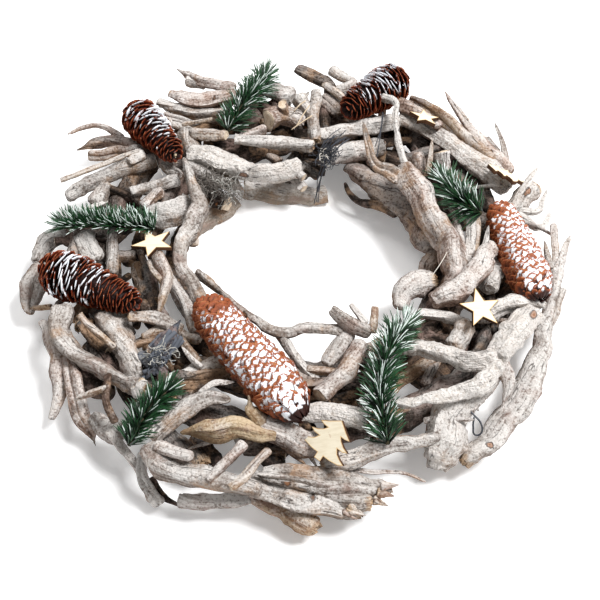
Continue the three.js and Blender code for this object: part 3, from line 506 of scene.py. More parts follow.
# Sticks of each node: the colour, how the first and the last end look, and the bends, each with x, y, height
# and the thickness there
STICKS = {
    "front_elbow_branch": [
        ("grey worn point", [(-100, -166, 40, 16), (-91, -180, 42, 17), (-75, -186, 42, 16),
            (-60, -189, 42, 15), (-44, -192, 40, 13), (-29, -195, 34, 12), (-16, -200, 28, 9)]),
        ("pink worn worn", [(-92, -168, 48, 9), (-78, -176, 52, 9), (-68, -180, 56, 7)]),
        ("pink worn worn", [(-35, -168, 52, 9), (-58, -194, 49, 7)]),
        ("tan worn cut", [(-19, -171, 48, 6), (-43, -196, 45, 6)]),
    ],
    "front_low_slab": [
        ("grey worn worn", [(-79, -192, 18, 10), (-56, -195, 20, 10), (-31, -191, 22, 9)]),
        ("tan worn broken", [(-40, -184, 22, 12), (-21, -194, 18, 16), (9, -210, 15, 18)]),
    ],
    "front_big_log": [
        ("grey worn broken", [(-24, -184, 40, 9), (0, -186, 38, 14), (27, -187, 33, 15),
            (58, -188, 24, 11)]),
        ("grey worn broken", [(-41, -188, 34, 9), (-21, -192, 32, 14), (2, -196, 29, 18),
            (40, -201, 20, 15)]),
        ("grey point point", [(-28, -186, 44, 4), (-2, -189, 43, 5), (23, -194, 37, 4)]),
    ],
    "front_tan_driftwood": [
        ("honey point worn", [(-78, -156, 43, 5), (-62, -159, 50, 14), (-41, -158, 52, 14),
            (-16, -163, 50, 6)]),
    ],
    "front_pink_log": [
        ("pink worn cut", [(-27, -151, 46, 13), (-7, -158, 46, 17), (13, -166, 44, 16)]),
        ("honey point worn", [(-33, -139, 62, 6), (-31, -145, 56, 10), (-24, -153, 48, 11)]),
    ],
    "front_right_log": [
        ("grey broken cut", [(15, -177, 34, 10), (34, -173, 38, 14), (74, -160, 38, 12),
            (92, -156, 38, 8)]),
        ("pink worn point", [(29, -176, 32, 3), (48, -176, 26, 3), (70, -174, 18, 2.2), (85, -176, 12, 2)]),
    ],
    "front_inner_log": [
        ("pale worn cut", [(-2, -143, 44, 12), (17, -142, 46, 14), (44, -148, 46, 13)]),
        ("tan worn point", [(39, -147, 42, 7), (68, -135, 32, 4.5), (79, -132, 30, 2.2)]),
    ],
    "hole_front_arc": [
        ("grey worn worn", [(-74, -28, 46, 7), (-55, -46, 44, 5), (-37, -63, 44, 6), (-18, -79, 46, 9),
            (4, -78, 48, 8), (33, -81, 50, 8)]),
        ("grey worn worn", [(-14, -80, 45, 7), (0, -103, 42, 7), (14, -115, 38, 5)]),
        ("grey worn worn", [(22, -70, 60, 6), (35, -78, 56, 10), (50, -86, 54, 10)]),
        ("white worn worn", [(35, -67, 62, 4), (46, -80, 56, 6)]),
        ("tan worn cut", [(52, -68, 60, 5), (50, -84, 55, 6)]),
    ],
    "front_crossed_branches": [
        ("pink worn cut", [(43, -92, 52, 12), (31, -113, 50, 13), (12, -133, 48, 12)]),
        ("grey worn worn", [(34, -80, 46, 12), (26, -93, 46, 13), (17, -105, 44, 11)]),
        ("tan worn cut", [(5, -107, 42, 6), (30, -112, 46, 7)]),
    ],
    "hole_right_stump": [
        ("pink worn broken", [(71, -49, 30, 12), (76, -39, 33, 16), (85, -32, 35, 17), (98, -29, 37, 13)]),
    ],
    "right_forked_root": [
        ("pale worn worn", [(164, -61, 40, 21), (147, -84, 50, 23), (132, -107, 54, 20)]),
        ("pale worn worn", [(132, -107, 54, 16), (111, -109, 56, 13), (92, -103, 58, 13),
            (70, -99, 58, 11)]),
        ("pale worn worn", [(133, -109, 52, 16), (119, -127, 54, 13), (100, -135, 56, 10),
            (81, -139, 56, 8), (61, -141, 56, 7)]),
        ("pink worn point", [(135, -106, 50, 12), (141, -118, 46, 10), (135, -134, 38, 3)]),
        ("pale worn worn", [(130, -70, 52, 10), (149, -58, 50, 13), (173, -56, 44, 8)]),
    ],
    "right_trunk": [
        ("white worn worn", [(136, -106, 44, 17), (124, -117, 38, 19), (107, -127, 31, 28),
            (101, -140, 26, 32), (98, -151, 23, 32), (95, -161, 19, 28), (92, -168, 15, 20)]),
    ],
    "right_outer_bow": [
        ("grey worn broken", [(188, -13, 38, 9), (180, -47, 38, 10), (168, -84, 36, 15),
            (159, -106, 32, 17), (146, -129, 28, 17), (127, -152, 24, 16), (110, -168, 22, 13)]),
        ("white point worn", [(199, 5, 46, 4), (185, -26, 38, 7)]),
        ("grey point worn", [(180, 2, 44, 4), (182, -22, 40, 7)]),
        ("white worn worn", [(188, 17, 44, 6), (188, -2, 42, 7), (187, -21, 38, 7)]),
        ("white worn point", [(191, -35, 34, 7), (183, -54, 32, 6), (175, -73, 32, 4)]),
    ],
    "right_fat_branch": [
        ("pink worn worn", [(93, -58, 50, 14), (111, -50, 52, 18), (128, -32, 54, 18), (139, -9, 52, 16)]),
        ("white cut worn", [(148, -14, 38, 15), (134, -42, 46, 15)]),
        ("pink worn worn", [(114, 21, 58, 5), (117, 1, 50, 6), (121, -20, 46, 6)]),
        ("white worn worn", [(126, 17, 54, 7), (122, -22, 46, 7)]),
        ("tan point worn", [(132, 17, 54, 4), (126, -18, 48, 4)]),
        ("grey point worn", [(137, 3, 60, 4), (130, -22, 54, 4)]),
    ],
    "right_inner_twigs": [
        ("white worn cut", [(83, -62, 44, 6), (104, -65, 44, 8), (119, -69, 42, 8)]),
        ("grey worn worn", [(117, -70, 44, 14), (105, -90, 40, 14)]),
        ("bark cut worn", [(101, -58, 30, 7), (87, -75, 34, 9), (104, -84, 38, 9)]),
        ("tan worn worn", [(62, -113, 24, 10), (78, -101, 28, 10), (101, -89, 35, 10)]),
        ("bark worn worn", [(79, -97, 20, 13), (93, -108, 18, 13)]),
    ],
    "right_inner_trunk": [
        ("pink worn worn", [(78, 64, 56, 14), (90, 35, 56, 19), (101, 6, 54, 20), (111, -19, 50, 20),
            (109, -39, 44, 14)]),
        ("grey point worn", [(49, 96, 70, 3), (52, 78, 64, 5), (58, 63, 58, 7), (76, 54, 54, 11)]),
        ("grey worn worn", [(65, 131, 62, 7), (75, 119, 66, 6), (75, 96, 62, 5), (81, 56, 57, 7)]),
        ("tan point worn", [(101, 83, 66, 4), (97, 61, 44, 5)]),
        ("pink worn worn", [(91, 82, 52, 10), (95, 66, 40, 9)]),
        ("grey cut worn", [(110, 82, 52, 12), (112, 66, 38, 9)]),
        ("bark worn worn", [(82, 54, 49, 11), (116, 66, 38, 9)]),
    ],
    "right_dark_wall": [
        ("bark worn worn", [(36, 77, 22, 3), (39, 68, 20, 5), (47, 62, 18, 6), (61, 55, 20, 7),
            (76, 45, 24, 8)]),
        ("brown worn worn", [(38, 89, 28, 13), (66, 67, 25, 22), (89, 42, 26, 24), (103, 8, 26, 20)]),
        ("brown worn worn", [(100, 18, 24, 15), (100, 2, 22, 15), (86, -30, 22, 15)]),
    ],
    "back_right_branch": [
        ("white worn worn", [(80, 126, 43, 11), (105, 111, 44, 13), (126, 90, 42, 14), (149, 72, 38, 17),
            (162, 60, 33, 14)]),
        ("pink broken worn", [(79, 134, 52, 10), (94, 121, 54, 11), (110, 107, 52, 9)]),
    ],
    "back_right_bark_branch": [
        ("tan worn worn", [(90, 149, 42, 6), (109, 129, 46, 11), (128, 104, 46, 13), (151, 82, 42, 10)]),
        ("pink point worn", [(119, 157, 42, 2.4), (130, 128, 42, 6), (142, 104, 42, 9), (157, 85, 40, 10),
            (165, 74, 38, 8)]),
        ("grey point worn", [(155, 119, 46, 2.2), (159, 101, 42, 4), (160, 82, 40, 6)]),
        ("grey worn worn", [(148, 105, 44, 3), (156, 91, 42, 6)]),
    ],
    "right_top_stub": [
        ("white broken worn", [(182, 59, 36, 15), (150, 29, 37, 17)]),
        ("pale point worn", [(185, 77, 40, 4), (166, 52, 38, 6)]),
        ("white point worn", [(190, 56, 38, 3), (181, 37, 36, 5), (167, 36, 37, 7)]),
        ("white worn worn", [(190, 34, 36, 3), (181, 22, 34, 5), (164, 33, 36, 8)]),
    ],
    "back_log": [
        ("white worn cut", [(10, 106, 43, 12), (37, 110, 44, 13), (58, 117, 44, 17), (77, 123, 43, 14)]),
        ("grey worn broken", [(13, 139, 62, 9), (12, 117, 56, 11), (13, 100, 46, 9)]),
        ("white worn worn", [(-2, 132, 62, 13), (12, 114, 55, 9)]),
    ],
    "back_low_log": [
        ("grey worn worn", [(23, 88, 40, 14), (40, 94, 38, 17), (67, 101, 36, 13)]),
    ],
    "back_peeled_stick": [
        ("grey cut broken", [(-50, 95, 52, 8), (-26, 92, 52, 11), (12, 90, 50, 11)]),
        ("pink cut worn", [(-24, 108, 60, 16), (-12, 115, 56, 17), (2, 117, 50, 14)]),
        ("pink cut worn", [(-13, 116, 69, 8), (-11, 119, 58, 9)]),
        ("pink worn worn", [(-26, 106, 53, 9), (-48, 95, 51, 5)]),
    ],
    "back_arch_branch": [
        ("pale worn worn", [(-87, 89, 44, 12), (-68, 84, 44, 17), (-49, 74, 44, 19), (-24, 70, 42, 18),
            (1, 76, 40, 16)]),
        ("tan cut worn", [(-59, 71, 38, 8), (-47, 73, 40, 9)]),
        ("bark worn worn", [(4, 82, 22, 6), (2, 80, 36, 7)]),
    ],
    "back_left_bundle": [
        ("pink point worn", [(-102, 186, 40, 5), (-82, 173, 40, 9), (-53, 162, 40, 11)]),
        ("grey cut worn", [(-92, 177, 36, 12), (-77, 171, 37, 10)]),
        ("pink broken worn", [(-105, 151, 46, 6), (-83, 144, 46, 13), (-51, 149, 44, 15)]),
        ("grey worn worn", [(-113, 148, 40, 5), (-96, 138, 40, 11), (-60, 130, 40, 13)]),
        ("bark worn worn", [(-64, 126, 32, 13), (-62, 166, 34, 13)]),
    ],
    "back_left_block": [
        ("grey worn worn", [(-93, 117, 40, 14), (-83, 96, 34, 15)]),
        ("tan worn cut", [(-86, 110, 44, 9), (-57, 104, 46, 9)]),
        ("tan worn worn", [(-93, 117, 46, 3), (-69, 119, 51, 3)]),
        ("grey worn point", [(-87, 88, 34, 20), (-67, 73, 34, 18), (-42, 61, 32, 5)]),
    ],
    "back_stub_log": [
        ("grey worn worn", [(-30, 163, 41, 15), (-17, 155, 42, 17), (-5, 149, 44, 18)]),
    ],
    "back_bark_log": [
        ("bark worn worn", [(-2, 184, 42, 10), (12, 173, 44, 12), (28, 157, 46, 10)]),
        ("grey worn worn", [(26, 189, 36, 9), (44, 170, 38, 9), (30, 158, 42, 8)]),
        ("tan worn worn", [(20, 161, 47, 6), (39, 137, 50, 6)]),
        ("brown worn worn", [(19, 152, 40, 11), (33, 132, 42, 10)]),
        ("bark worn worn", [(24, 165, 38, 9), (20, 112, 37, 10)]),
    ],
    "left_bark_arc": [
        ("pink point worn", [(-184, 112, 40, 3), (-171, 119, 40, 4), (-157, 122, 38, 5),
            (-148, 119, 35, 6), (-141, 114, 32, 8)]),
        ("brown point worn", [(-178, 106, 28, 4), (-164, 113, 30, 10), (-147, 113, 32, 11),
            (-122, 98, 37, 13)]),
        ("pink worn worn", [(-167, 97, 32, 8), (-144, 97, 36, 9), (-123, 93, 42, 9)]),
    ],
    "left_tan_branch": [
        ("tan cut worn", [(-183, 62, 42, 4), (-154, 74, 46, 4), (-123, 86, 49, 4)]),
        ("grey worn worn", [(-131, 76, 47, 7), (-121, 87, 46, 11)]),
        ("grey worn worn", [(-179, 55, 30, 11), (-161, 67, 34, 11), (-138, 77, 38, 12),
            (-111, 87, 40, 12)]),
        ("grey worn worn", [(-156, 46, 31, 15), (-147, 66, 35, 12)]),
    ],
    "left_knotty_branch": [
        ("grey worn worn", [(-128, 50, 42, 8), (-112, 55, 42, 10), (-93, 62, 42, 9)]),
        ("grey worn cut", [(-115, 29, 40, 15), (-99, 31, 42, 20), (-84, 39, 42, 15)]),
        ("pink worn worn", [(-118, 36, 42, 9), (-105, 52, 42, 9)]),
        ("grey worn worn", [(-106, 81, 42, 9), (-92, 66, 42, 9)]),
    ],
    "hole_left_branch": [
        ("grey point worn", [(-88, 71, 58, 7), (-81, 50, 54, 9), (-75, 28, 50, 15), (-81, 7, 50, 14),
            (-86, -13, 50, 10), (-85, -24, 48, 9), (-76, -39, 46, 10), (-68, -50, 42, 10)]),
        ("tan cut worn", [(-81, 16, 46, 9), (-78, 2, 38, 7)]),
    ],
    "left_outer_branch": [
        ("grey worn worn", [(-195, -5, 26, 9), (-186, 14, 30, 14), (-171, 20, 33, 14)]),
        ("grey worn worn", [(-197, -46, 20, 7), (-196, -27, 22, 16), (-190, -7, 26, 13)]),
        ("tan point worn", [(-196, -43, 22, 5), (-178, -47, 30, 4)]),
        ("grey worn worn", [(-161, 13, 38, 16), (-150, -14, 38, 16)]),
        ("grey worn worn", [(-138, 16, 42, 9), (-135, -25, 39, 9)]),
        ("bark worn worn", [(-178, 18, 32, 11), (-136, -3, 35, 10)]),
    ],
    "left_inner_branches": [
        ("tan worn point", [(-102, -15, 52, 9), (-95, -36, 50, 9), (-98, -67, 48, 4)]),
        ("tan worn worn", [(-108, -19, 48, 5), (-97, -38, 49, 6)]),
        ("grey worn worn", [(-93, -32, 44, 9), (-82, -50, 42, 9), (-72, -76, 39, 8)]),
        ("grey broken worn", [(-118, -70, 50, 7), (-102, -70, 48, 10), (-81, -76, 43, 8)]),
        ("tan broken worn", [(-109, -79, 39, 7), (-90, -76, 39, 10), (-68, -80, 37, 8)]),
        ("tan worn cut", [(-83, -82, 42, 6), (-68, -102, 44, 5)]),
    ],
    "left_long_branch": [
        ("grey worn cut", [(-166, -56, 42, 16), (-167, -75, 42, 14), (-158, -91, 42, 12),
            (-142, -102, 40, 12), (-122, -113, 40, 12), (-104, -123, 45, 12)]),
        ("pink cut worn", [(-183, -61, 31, 5), (-172, -79, 34, 12), (-167, -99, 27, 13),
            (-165, -113, 21, 10), (-169, -131, 16, 5)]),
        ("pink worn point", [(-162, -84, 35, 9), (-154, -112, 30, 11), (-147, -132, 24, 12),
            (-138, -152, 16, 3)]),
        ("brown worn worn", [(-129, -113, 44, 6), (-126, -137, 50, 5), (-120, -150, 46, 5)]),
        ("tan point worn", [(-150, -132, 44, 3), (-139, -128, 47, 5), (-128, -126, 49, 5)]),
    ],
    "left_broad_branch": [
        ("white worn worn", [(-135, -56, 34, 25), (-122, -84, 36, 21), (-112, -112, 32, 14)]),
        ("tan cut worn", [(-152, -70, 54, 5), (-127, -90, 42, 5)]),
    ],
    "front_left_log": [
        ("grey worn worn", [(-93, -117, 34, 14), (-69, -106, 36, 16), (-48, -99, 38, 15)]),
        ("pink point worn", [(-80, -94, 50, 4), (-66, -107, 44, 5)]),
    ],
    "front_left_branch": [
        ("grey cut worn", [(-97, -160, 43, 11), (-76, -142, 48, 12), (-62, -133, 50, 12),
            (-46, -136, 50, 4)]),
        ("grey point point", [(-68, -133, 54, 4), (-56, -126, 55, 5), (-43, -125, 56, 5)]),
    ],
    "front_left_twigs": [
        ("grey worn worn", [(-140, -134, 26, 11), (-119, -151, 28, 15)]),
        ("pink worn worn", [(-127, -149, 34, 7), (-116, -161, 27, 6), (-104, -176, 18, 6),
            (-97, -190, 10, 7)]),
        ("grey worn worn", [(-103, -163, 30, 7), (-102, -178, 24, 7), (-92, -193, 12, 8)]),
        ("bark worn point", [(-98, -177, 20, 5), (-90, -187, 12, 5), (-78, -193, 8, 3)]),
    ],
}

# The base ring's rods, laid end to end round the hole
BASE_ROD = 16
BASE_HEIGHT = 7
BASE_RODS = [
    ("peeled", (-44, 82), (21, 76)),
    ("bark", (-14, 80), (2, 124)),
    ("bark", (-4, 120), (56, 118)),
    ("bark", (52, 122), (90, 84)),
    ("bark", (88, 92), (114, 2)),
    ("bark", (114, 8), (84, -64)),
    ("brown", (86, -56), (6, -92)),
    ("brown", (14, -90), (-62, -68)),
    ("bark", (-58, -72), (-98, -4)),
    ("bark", (-99, -12), (-88, 46)),
    ("peeled", (-88, 38), (-50, 70)),
]

# Under wood: two sticks along the ring and one across it in each quarter
UNDER_RADII = (120, 154)
UNDER_SPREAD = 42
UNDER_HEIGHT = 25
UNDER_STICK = 18
UNDER_CROSS = 14
CROSS_INNER_ENDS = (102, 80, 86, 92)
CROSS_OUTER_END = 168
CROSS_HEIGHTS = (20, 22)

# Old roots and branches with knobbly sides
KNOBBLY_WOOD = ("right_forked_root", "right_trunk", "left_broad_branch", "left_knotty_branch")

# Loose fill in each quarter: its sticks, where their middles lie, their size and the edges they keep within
FILL_STICKS = 34
FILL_RADII = (112, 168)
FILL_HEIGHTS = (14, 40)
FILL_HALF_LENGTHS = (14, 30)
FILL_THICKNESSES = (5, 12)
FILL_INNER = 100
FILL_OUTER = 182

# Twigs at the rim of each quarter: their number, where they start, their size and how far out they may reach
RIM_TWIGS = 9
RIM_RADII = (150, 178)
RIM_LENGTHS = (16, 34)
RIM_HEIGHTS = (24, 40)
RIM_REACH = 194

# Gaps that show the floor: x and y there, and the reach; the eye looks along a line with this slope
SIGHT_SLOPE = 0.727
GAPS = [
    (-161, -57, 7), (-133, -77, 4), (-155, 108, 5), (-154, 93, 5), (-121, 102, 8), (-51, -145, 6),
    (-40, -151, 9), (0, -154, 12), (-57, -116, 8), (72, -98, 6), (85, -114, 7), (85, -133, 8), (82, -151, 8),
    (135, -110, 7), (132, -127, 6), (67, -160, 8), (41, -162, 7),
]

# How far in from the end, in radii, each of the last bends lies, and its share of the radius there
END_SHAPES = {
    "worn": ((0.5, 0.98), (0.14, 0.84), (0.0, 0.6)),
    "cut": ((0.3, 1.0), (0.0, 0.97)),
    "broken": ((0.7, 0.99), (0.0, 0.8)),
    "point": ((2.2, 0.72), (0.9, 0.42), (0.0, 0.12)),
}

# Sections: how oval, how ribbed, where the side is split flat and how deep a groove runs along it, in radii
SECTION_KINDS = [
    (0.06, 0.05, 2, 0.0),
    (0.1, 0.08, 2, 0.26),
    (0.05, 0.12, 2, 0.0),
    (0.12, 0.06, 0.72, 0.2),
    (0.16, 0.07, 2, 0.34),
]

# How far, in radii, the wood shows fresh behind an end of each kind
FRESH_REACH = {"worn": 0.3, "cut": 0.9, "broken": 2.0, "point": 0.3}

# Cones: the round end, the tip, the thickness at both, the number of scales, how far they open in degrees and
# how much more at the round end, how thick and how wide they are, their paint, and the snow: the stretch that
# it lies on, the side that it fell on and how thick it is
CONES = {
    "left_cone": {
        "base": (-184, -24, 48), "tip": (-111, -62, 54), "fat": 37, "thin": 18, "scales": 230, "open": 62,
        "flare": 24, "plate": 0.9, "wide": 1.0, "paint": CONE_BROWN,
        "snow": ((0.12, 0.72), (0.1, -0.3, 1.0), 0.8),
    },
    "back_left_cone": {
        "base": (-133, 130, 50), "tip": (-92, 70, 60), "fat": 33, "thin": 17, "scales": 180, "open": 62,
        "flare": 24, "plate": 0.9, "wide": 1.0, "paint": CONE_BROWN,
        "snow": ((0.12, 0.86), (0.55, 0.1, 0.8), 0.84),
    },
    "back_right_cone": {
        "base": (84, 161, 54.5), "tip": (35, 117, 60.5), "fat": 36, "thin": 21, "scales": 150, "open": 66,
        "flare": 22, "plate": 1.0, "wide": 1.15, "paint": CONE_BROWN,
        "snow": ((0.1, 0.96), (-0.4, -0.2, 0.9), 0.66),
    },
    "right_cone": {
        "base": (167, -57, 54), "tip": (146, 30, 52), "fat": 33, "thin": 23, "scales": 360, "open": 42,
        "flare": 14, "plate": 1.5, "wide": 0.78, "paint": CONE_ORANGE,
        "snow": ((-0.08, 1.02), (0.3, -0.2, 1.0), 0.86),
    },
    "front_cone": {
        "base": (0, -152, 62), "tip": (-69, -59, 54), "fat": 38, "thin": 30, "scales": 440, "open": 40,
        "flare": 4, "plate": 1.5, "wide": 0.78, "paint": CONE_ORANGE,
        "snow": ((-0.3, 0.98), (0.1, -0.3, 1.0), 0.9),
    },
}

# The shares of a cone's length where it is widest, over which it rounds off before that, where it starts to
# close and over which it does so
CONE_WIDEST = 0.28
CONE_ROUND = 0.33
CONE_CLOSES_FROM = 0.86
CONE_CLOSING = 0.16

# The share of a cone's length at both ends where the scales lean otherwise, and how far they close at the tip
CONE_END = 0.2
CONE_TIP_CLOSES = 24

# Scales: how far out their roots lie, how small they are at the very base, over which share of the cone's
# length they grow to their full size, how many stand side by side and the turn from one to the next
SCALE_ROOT = 0.3
BASE_SCALE = 0.76
BASE_GROWS = 0.14
SCALES_ROUND = 10
GOLDEN_TURN = math.radians(137.508)

# Sprigs: the bends of the stem from its root, the number of needles and their length, how far they lean from
# the stem and the sides that they stand on, both in degrees, and the share with snow
SPRIGS = {
    "left_sprig": (
        [(-106, 9, 49), (-130, 10, 50), (-154, 12, 49), (-173, 12, 47)],
        560, 17, (60, 98), (-116, 60), 0.34,
    ),
    "back_sprig": (
        [(-57, 109, 46), (-43, 133, 55), (-35, 147, 55), (-27, 166, 52)],
        440, 17, (34, 80), (-120, 120), 0.2,
    ),
    "right_sprig": (
        [(133, 15, 59), (122, 21, 62), (115, 32, 62), (108, 50, 57)],
        340, 18, (34, 78), (-120, 120), 0.26,
    ),
    "front_right_sprig": (
        [(57, -168, 49), (54, -152, 55), (52, -138, 60), (54, -124, 64), (59, -108, 66), (65, -96, 64),
            (72, -83, 60)],
        600, 17, (34, 76), (-120, 120), 0.36,
    ),
    "front_left_sprig": (
        [(-111, -165, 42), (-104, -153, 50), (-96, -142, 54), (-87, -132, 56)],
        380, 15, (34, 70), (-120, 120), 0.14,
    ),
}

# Plywood shapes: centre, tilts about X and Y, turn about Z, and the reach of a star's points
STARS = {
    "left_star": ((-105, -10.5, 56.5), (-13, 2, 28), 16),
    "back_star": ((97, 107, 63), (-20, 12, -4), 12.5),
    "right_star": ((124, -69.5, 59.5), (11, 10, 13), 15.7),
}
TREES = {
    "front_tree": ((18, -170.5, 55), (36, 0, -41)),
    "back_tree": ((158.5, 57.5, 51.5), (12, 38, 70)),
}
STAR_WAIST = 0.42
TREE_SIDE = (
    (0, 18), (7, 13), (12, 10), (8.5, 9), (5.5, 9), (7, 7), (10.5, 4.5), (15, 3), (11.5, 1.5), (7.5, 1.5),
    (9.5, -1.5), (13, -3.5), (17, -5), (13.5, -7), (7.5, -8), (2.5, -8), (2.5, -12),
)

# The loop of binding wire at the front right, and its thickness
WIRE_LOOP = [
    (113, -136, 37), (117, -140, 36), (121, -145, 34), (121, -150, 31), (117, -151, 30),
    (115.5, -147, 34), (116, -142, 38),
]
WIRE = 1.3

# Tufts of lichen or wire: the spot, how far the hairs reach, their number, thickness and look
TUFTS = [
    ("lichen_under_arch", (-68, 62, 40), 20, 150, 0.5, GREY_LICHEN),
    ("lichen_by_arch", (-54, 56, 38), 16, 90, 0.5, GREY_LICHEN),
    ("pale_hairs_by_arch", (-58, 57, 39), 18, 40, 0.5, LICHEN),
    ("slate_lichen_lower", (-96, -102, 47), 12, 60, 0.7, SLATE_LICHEN),
    ("pale_hairs_on_slate", (-95, -100, 49), 13, 60, 0.6, LICHEN),
    ("binding_knot", (21, 78, 52), 15, 110, 0.5, BINDING),
    ("binding_knot_glue", (21, 77, 53), 13, 18, 0.5, THREAD),
]

# Sticks tucked in between the named ones: the dark ones at the front and the left, the near-black of them
# painted shade between the sticks, a chip on the long left branch, splinters at the front edge, thin sticks
# at the back and strips of slate bark
TUCKED = [
    ("bark worn broken", [(-147, -74, 24, 18), (-134, -100, 22, 16)]),
    ("dark worn worn", [(-138, -87, 24, 12), (-124, -102, 22, 10)]),
    ("bark worn worn", [(-157, -98, 24, 16), (-130, -116, 22, 14)]),
    ("grey worn worn", [(-161, -108, 26, 10), (-150, -124, 24, 8)]),
    ("bark worn broken", [(-92, -150, 24, 20), (-64, -168, 22, 18)]),
    ("dark worn worn", [(-71, -148, 22, 14), (-53, -167, 20, 12)]),
    ("dark worn worn", [(-28, -148, 24, 16), (-12, -172, 22, 14)]),
    ("bark worn cut", [(-37, -160, 30, 12), (-9, -163, 28, 10)]),
    ("dark worn worn", [(-106, -75, 22, 14), (-88, -69, 20, 12)]),
    ("dark worn worn", [(-86, -93, 24, 12), (-69, -108, 22, 10)]),
    ("pale broken broken", [(-108, -121, 44, 12), (-104, -126, 48, 13), (-100, -130, 52, 11)]),
    ("grey worn broken", [(-20, -185, 30, 15), (46, -200, 28, 13)]),
    ("grey worn worn", [(-32, -183, 32, 12), (0, -193, 30, 10)]),
    ("tan worn point", [(52, -190, 34, 6), (64, -188, 32, 4)]),
    ("tan broken point", [(50, -193, 31, 7), (61, -195, 29, 5)]),
    ("tan worn point", [(47, -197, 29, 6), (57, -200, 27, 4)]),
    ("tan broken point", [(31, -203, 30, 7), (42, -208, 28, 5)]),
    ("pink worn point", [(27, -205, 28, 6), (37, -210, 26, 4)]),
    ("tan broken broken", [(-2, -206, 15, 9), (6, -212, 13, 7)]),
    ("tan worn point", [(3, -206, 18, 6), (12, -208, 16, 4)]),
    ("grey worn worn", [(-115, 146, 42, 8), (-86, 137, 40, 7)]),
    ("pink worn point", [(-109, 131, 42, 6), (-80, 122, 42, 4)]),
    ("grey worn worn", [(-103, 125, 38, 7), (-82, 116, 36, 5)]),
    ("grey worn cut", [(-9, 77, 42, 7), (4, 67, 41, 6)]),
    ("grey worn cut", [(-6, 77, 30, 8), (4, 66, 29, 7)]),
    ("dark worn worn", [(-9, 85, 28, 14), (20, 88, 27, 13)]),
    ("bark worn worn", [(1, 85, 34, 8), (15, 74, 33, 7)]),
    ("slate point broken", [(-82, -72, 50, 6), (-90, -85, 48, 10), (-101, -98, 44, 11)]),
    ("slate worn point", [(-88, -78, 46, 9), (-97, -101, 43, 11), (-103, -114, 41, 6)]),
    ("slate worn broken", [(-110, -96, 42, 8), (-100, -104, 42, 11), (-90, -114, 41, 7)]),
]

# Glue threads, dry needles and the cone's stalk, with their bends, thickness and look
THREADS = [
    ("glue_thread_right", [(105, -21, 60), (99, -33, 62), (92, -42, 58)], 0.5, THREAD),
    ("glue_thread_left", [(-112, 84, 46), (-108, 73, 44), (-104, 62, 48)], 0.4, THREAD),
    ("glue_thread_back", [(-8, 112, 60), (2, 122, 66), (10, 132, 70)], 0.4, THREAD),
    ("dry_needle_long", [(-6, 96, 62), (2, 100, 66), (10, 105, 68)], 0.9, STALK),
    ("dry_needle_short", [(-4, 114, 64), (1, 118, 67), (5, 121, 68)], 0.9, STALK),
    ("dry_needle_steep", [(-2, 100, 62), (4, 110, 66), (8, 116, 68)], 0.9, STALK),
    ("cone_stalk", [(-94, 73, 59), (-95, 74, 56), (-94, 71, 52)], 2.2, STALK),
]

# Tangles of bark fibres or wires: their bends, how far they stray, their number, thickness and look
TANGLES = [
    ("slate_bark_strips", [(-84, -84, 47), (-91, -94, 45), (-98, -104, 43), (-102, -112, 42)],
        3, 16, 3.2, SLATE_LICHEN),
    ("binding_over_low_log", [(34, 90, 62), (26, 83, 60), (20, 77, 52), (17, 74, 42)], 2.4, 14, 0.6, BINDING),
    ("binding_at_rod_end", [(20, 76, 46), (17, 74, 32), (15, 71, 20), (14, 66, 11)], 0.9, 4, 0.7, BINDING),
    ("binding_back_right", [(66, 113, 62), (63, 96, 60), (60, 82, 58), (59, 68, 52)], 1.5, 4, 0.6, BINDING),
]


# Sticks


def section_curves():
    """Lumpy sections to sweep a stick's path with, each a closed outline."""
    sections = []
    for seed, (oval, ribs, flat, groove) in enumerate(SECTION_KINDS):
        draw = random.Random(seed)
        turns = [draw.uniform(0, math.tau) for _ in range(3)]
        places = []
        for number in range(SECTION_SIDES):
            angle = math.tau * number / SECTION_SIDES
            reach = 1 + oval * math.cos(2 * angle + turns[0]) + ribs * math.cos(3 * angle + turns[1])
            reach += 0.6 * ribs * math.cos(5 * angle + turns[2])
            reach -= groove * max(0, math.cos(angle - turns[1])) ** 14
            places.append((min(reach * math.cos(angle), flat), reach * math.sin(angle)))
        outline = new_curve("section")
        closed_outline(outline, places)
        sections.append(linked("section", outline))
    return sections


def softened(bends, draw):
    """The bends with more between them on a smooth line, each a little off it and thicker or thinner."""
    points = [at(*bend[:3]) for bend in bends]
    halves = [bend[3] / 2 * MM for bend in bends]
    path = [(points[0], halves[0])]
    for number in range(len(points) - 1):
        start, end = points[number], points[number + 1]
        before = points[number - 1] if number else start
        after = points[number + 2] if number + 2 < len(points) else end
        parts = max(1, round((end - start).length / MM / STRETCH))
        for part in range(1, parts + 1):
            t = part / parts
            line = start * 2 + (end - before) * t + (before * 2 - start * 5 + end * 4 - after) * t ** 2
            line += (start * 3 - before - end * 3 + after) * t ** 3
            half = halves[number] * (1 - t) + halves[number + 1] * t
            stray = Vector([draw.uniform(-1, 1) for _ in range(3)]) * (0.1 * half + 0.6 * MM)
            path.append((line / 2 + stray, half * draw.uniform(0.9, 1.1)))
    return path


def with_end(path, shape):
    """Replaces the last bend of a path by the few that give the end its shape."""
    (inner, _), (tip, half) = path[-2:]
    inward = inner - tip
    room = min(1.0, 0.8 * inward.length / (END_SHAPES[shape][0][0] * half))
    last = []
    for far_in, share in END_SHAPES[shape]:
        inset = inward.normalized() * far_in * half * room
        last.append((tip + inset, half * share))
    return path[:-1] + last


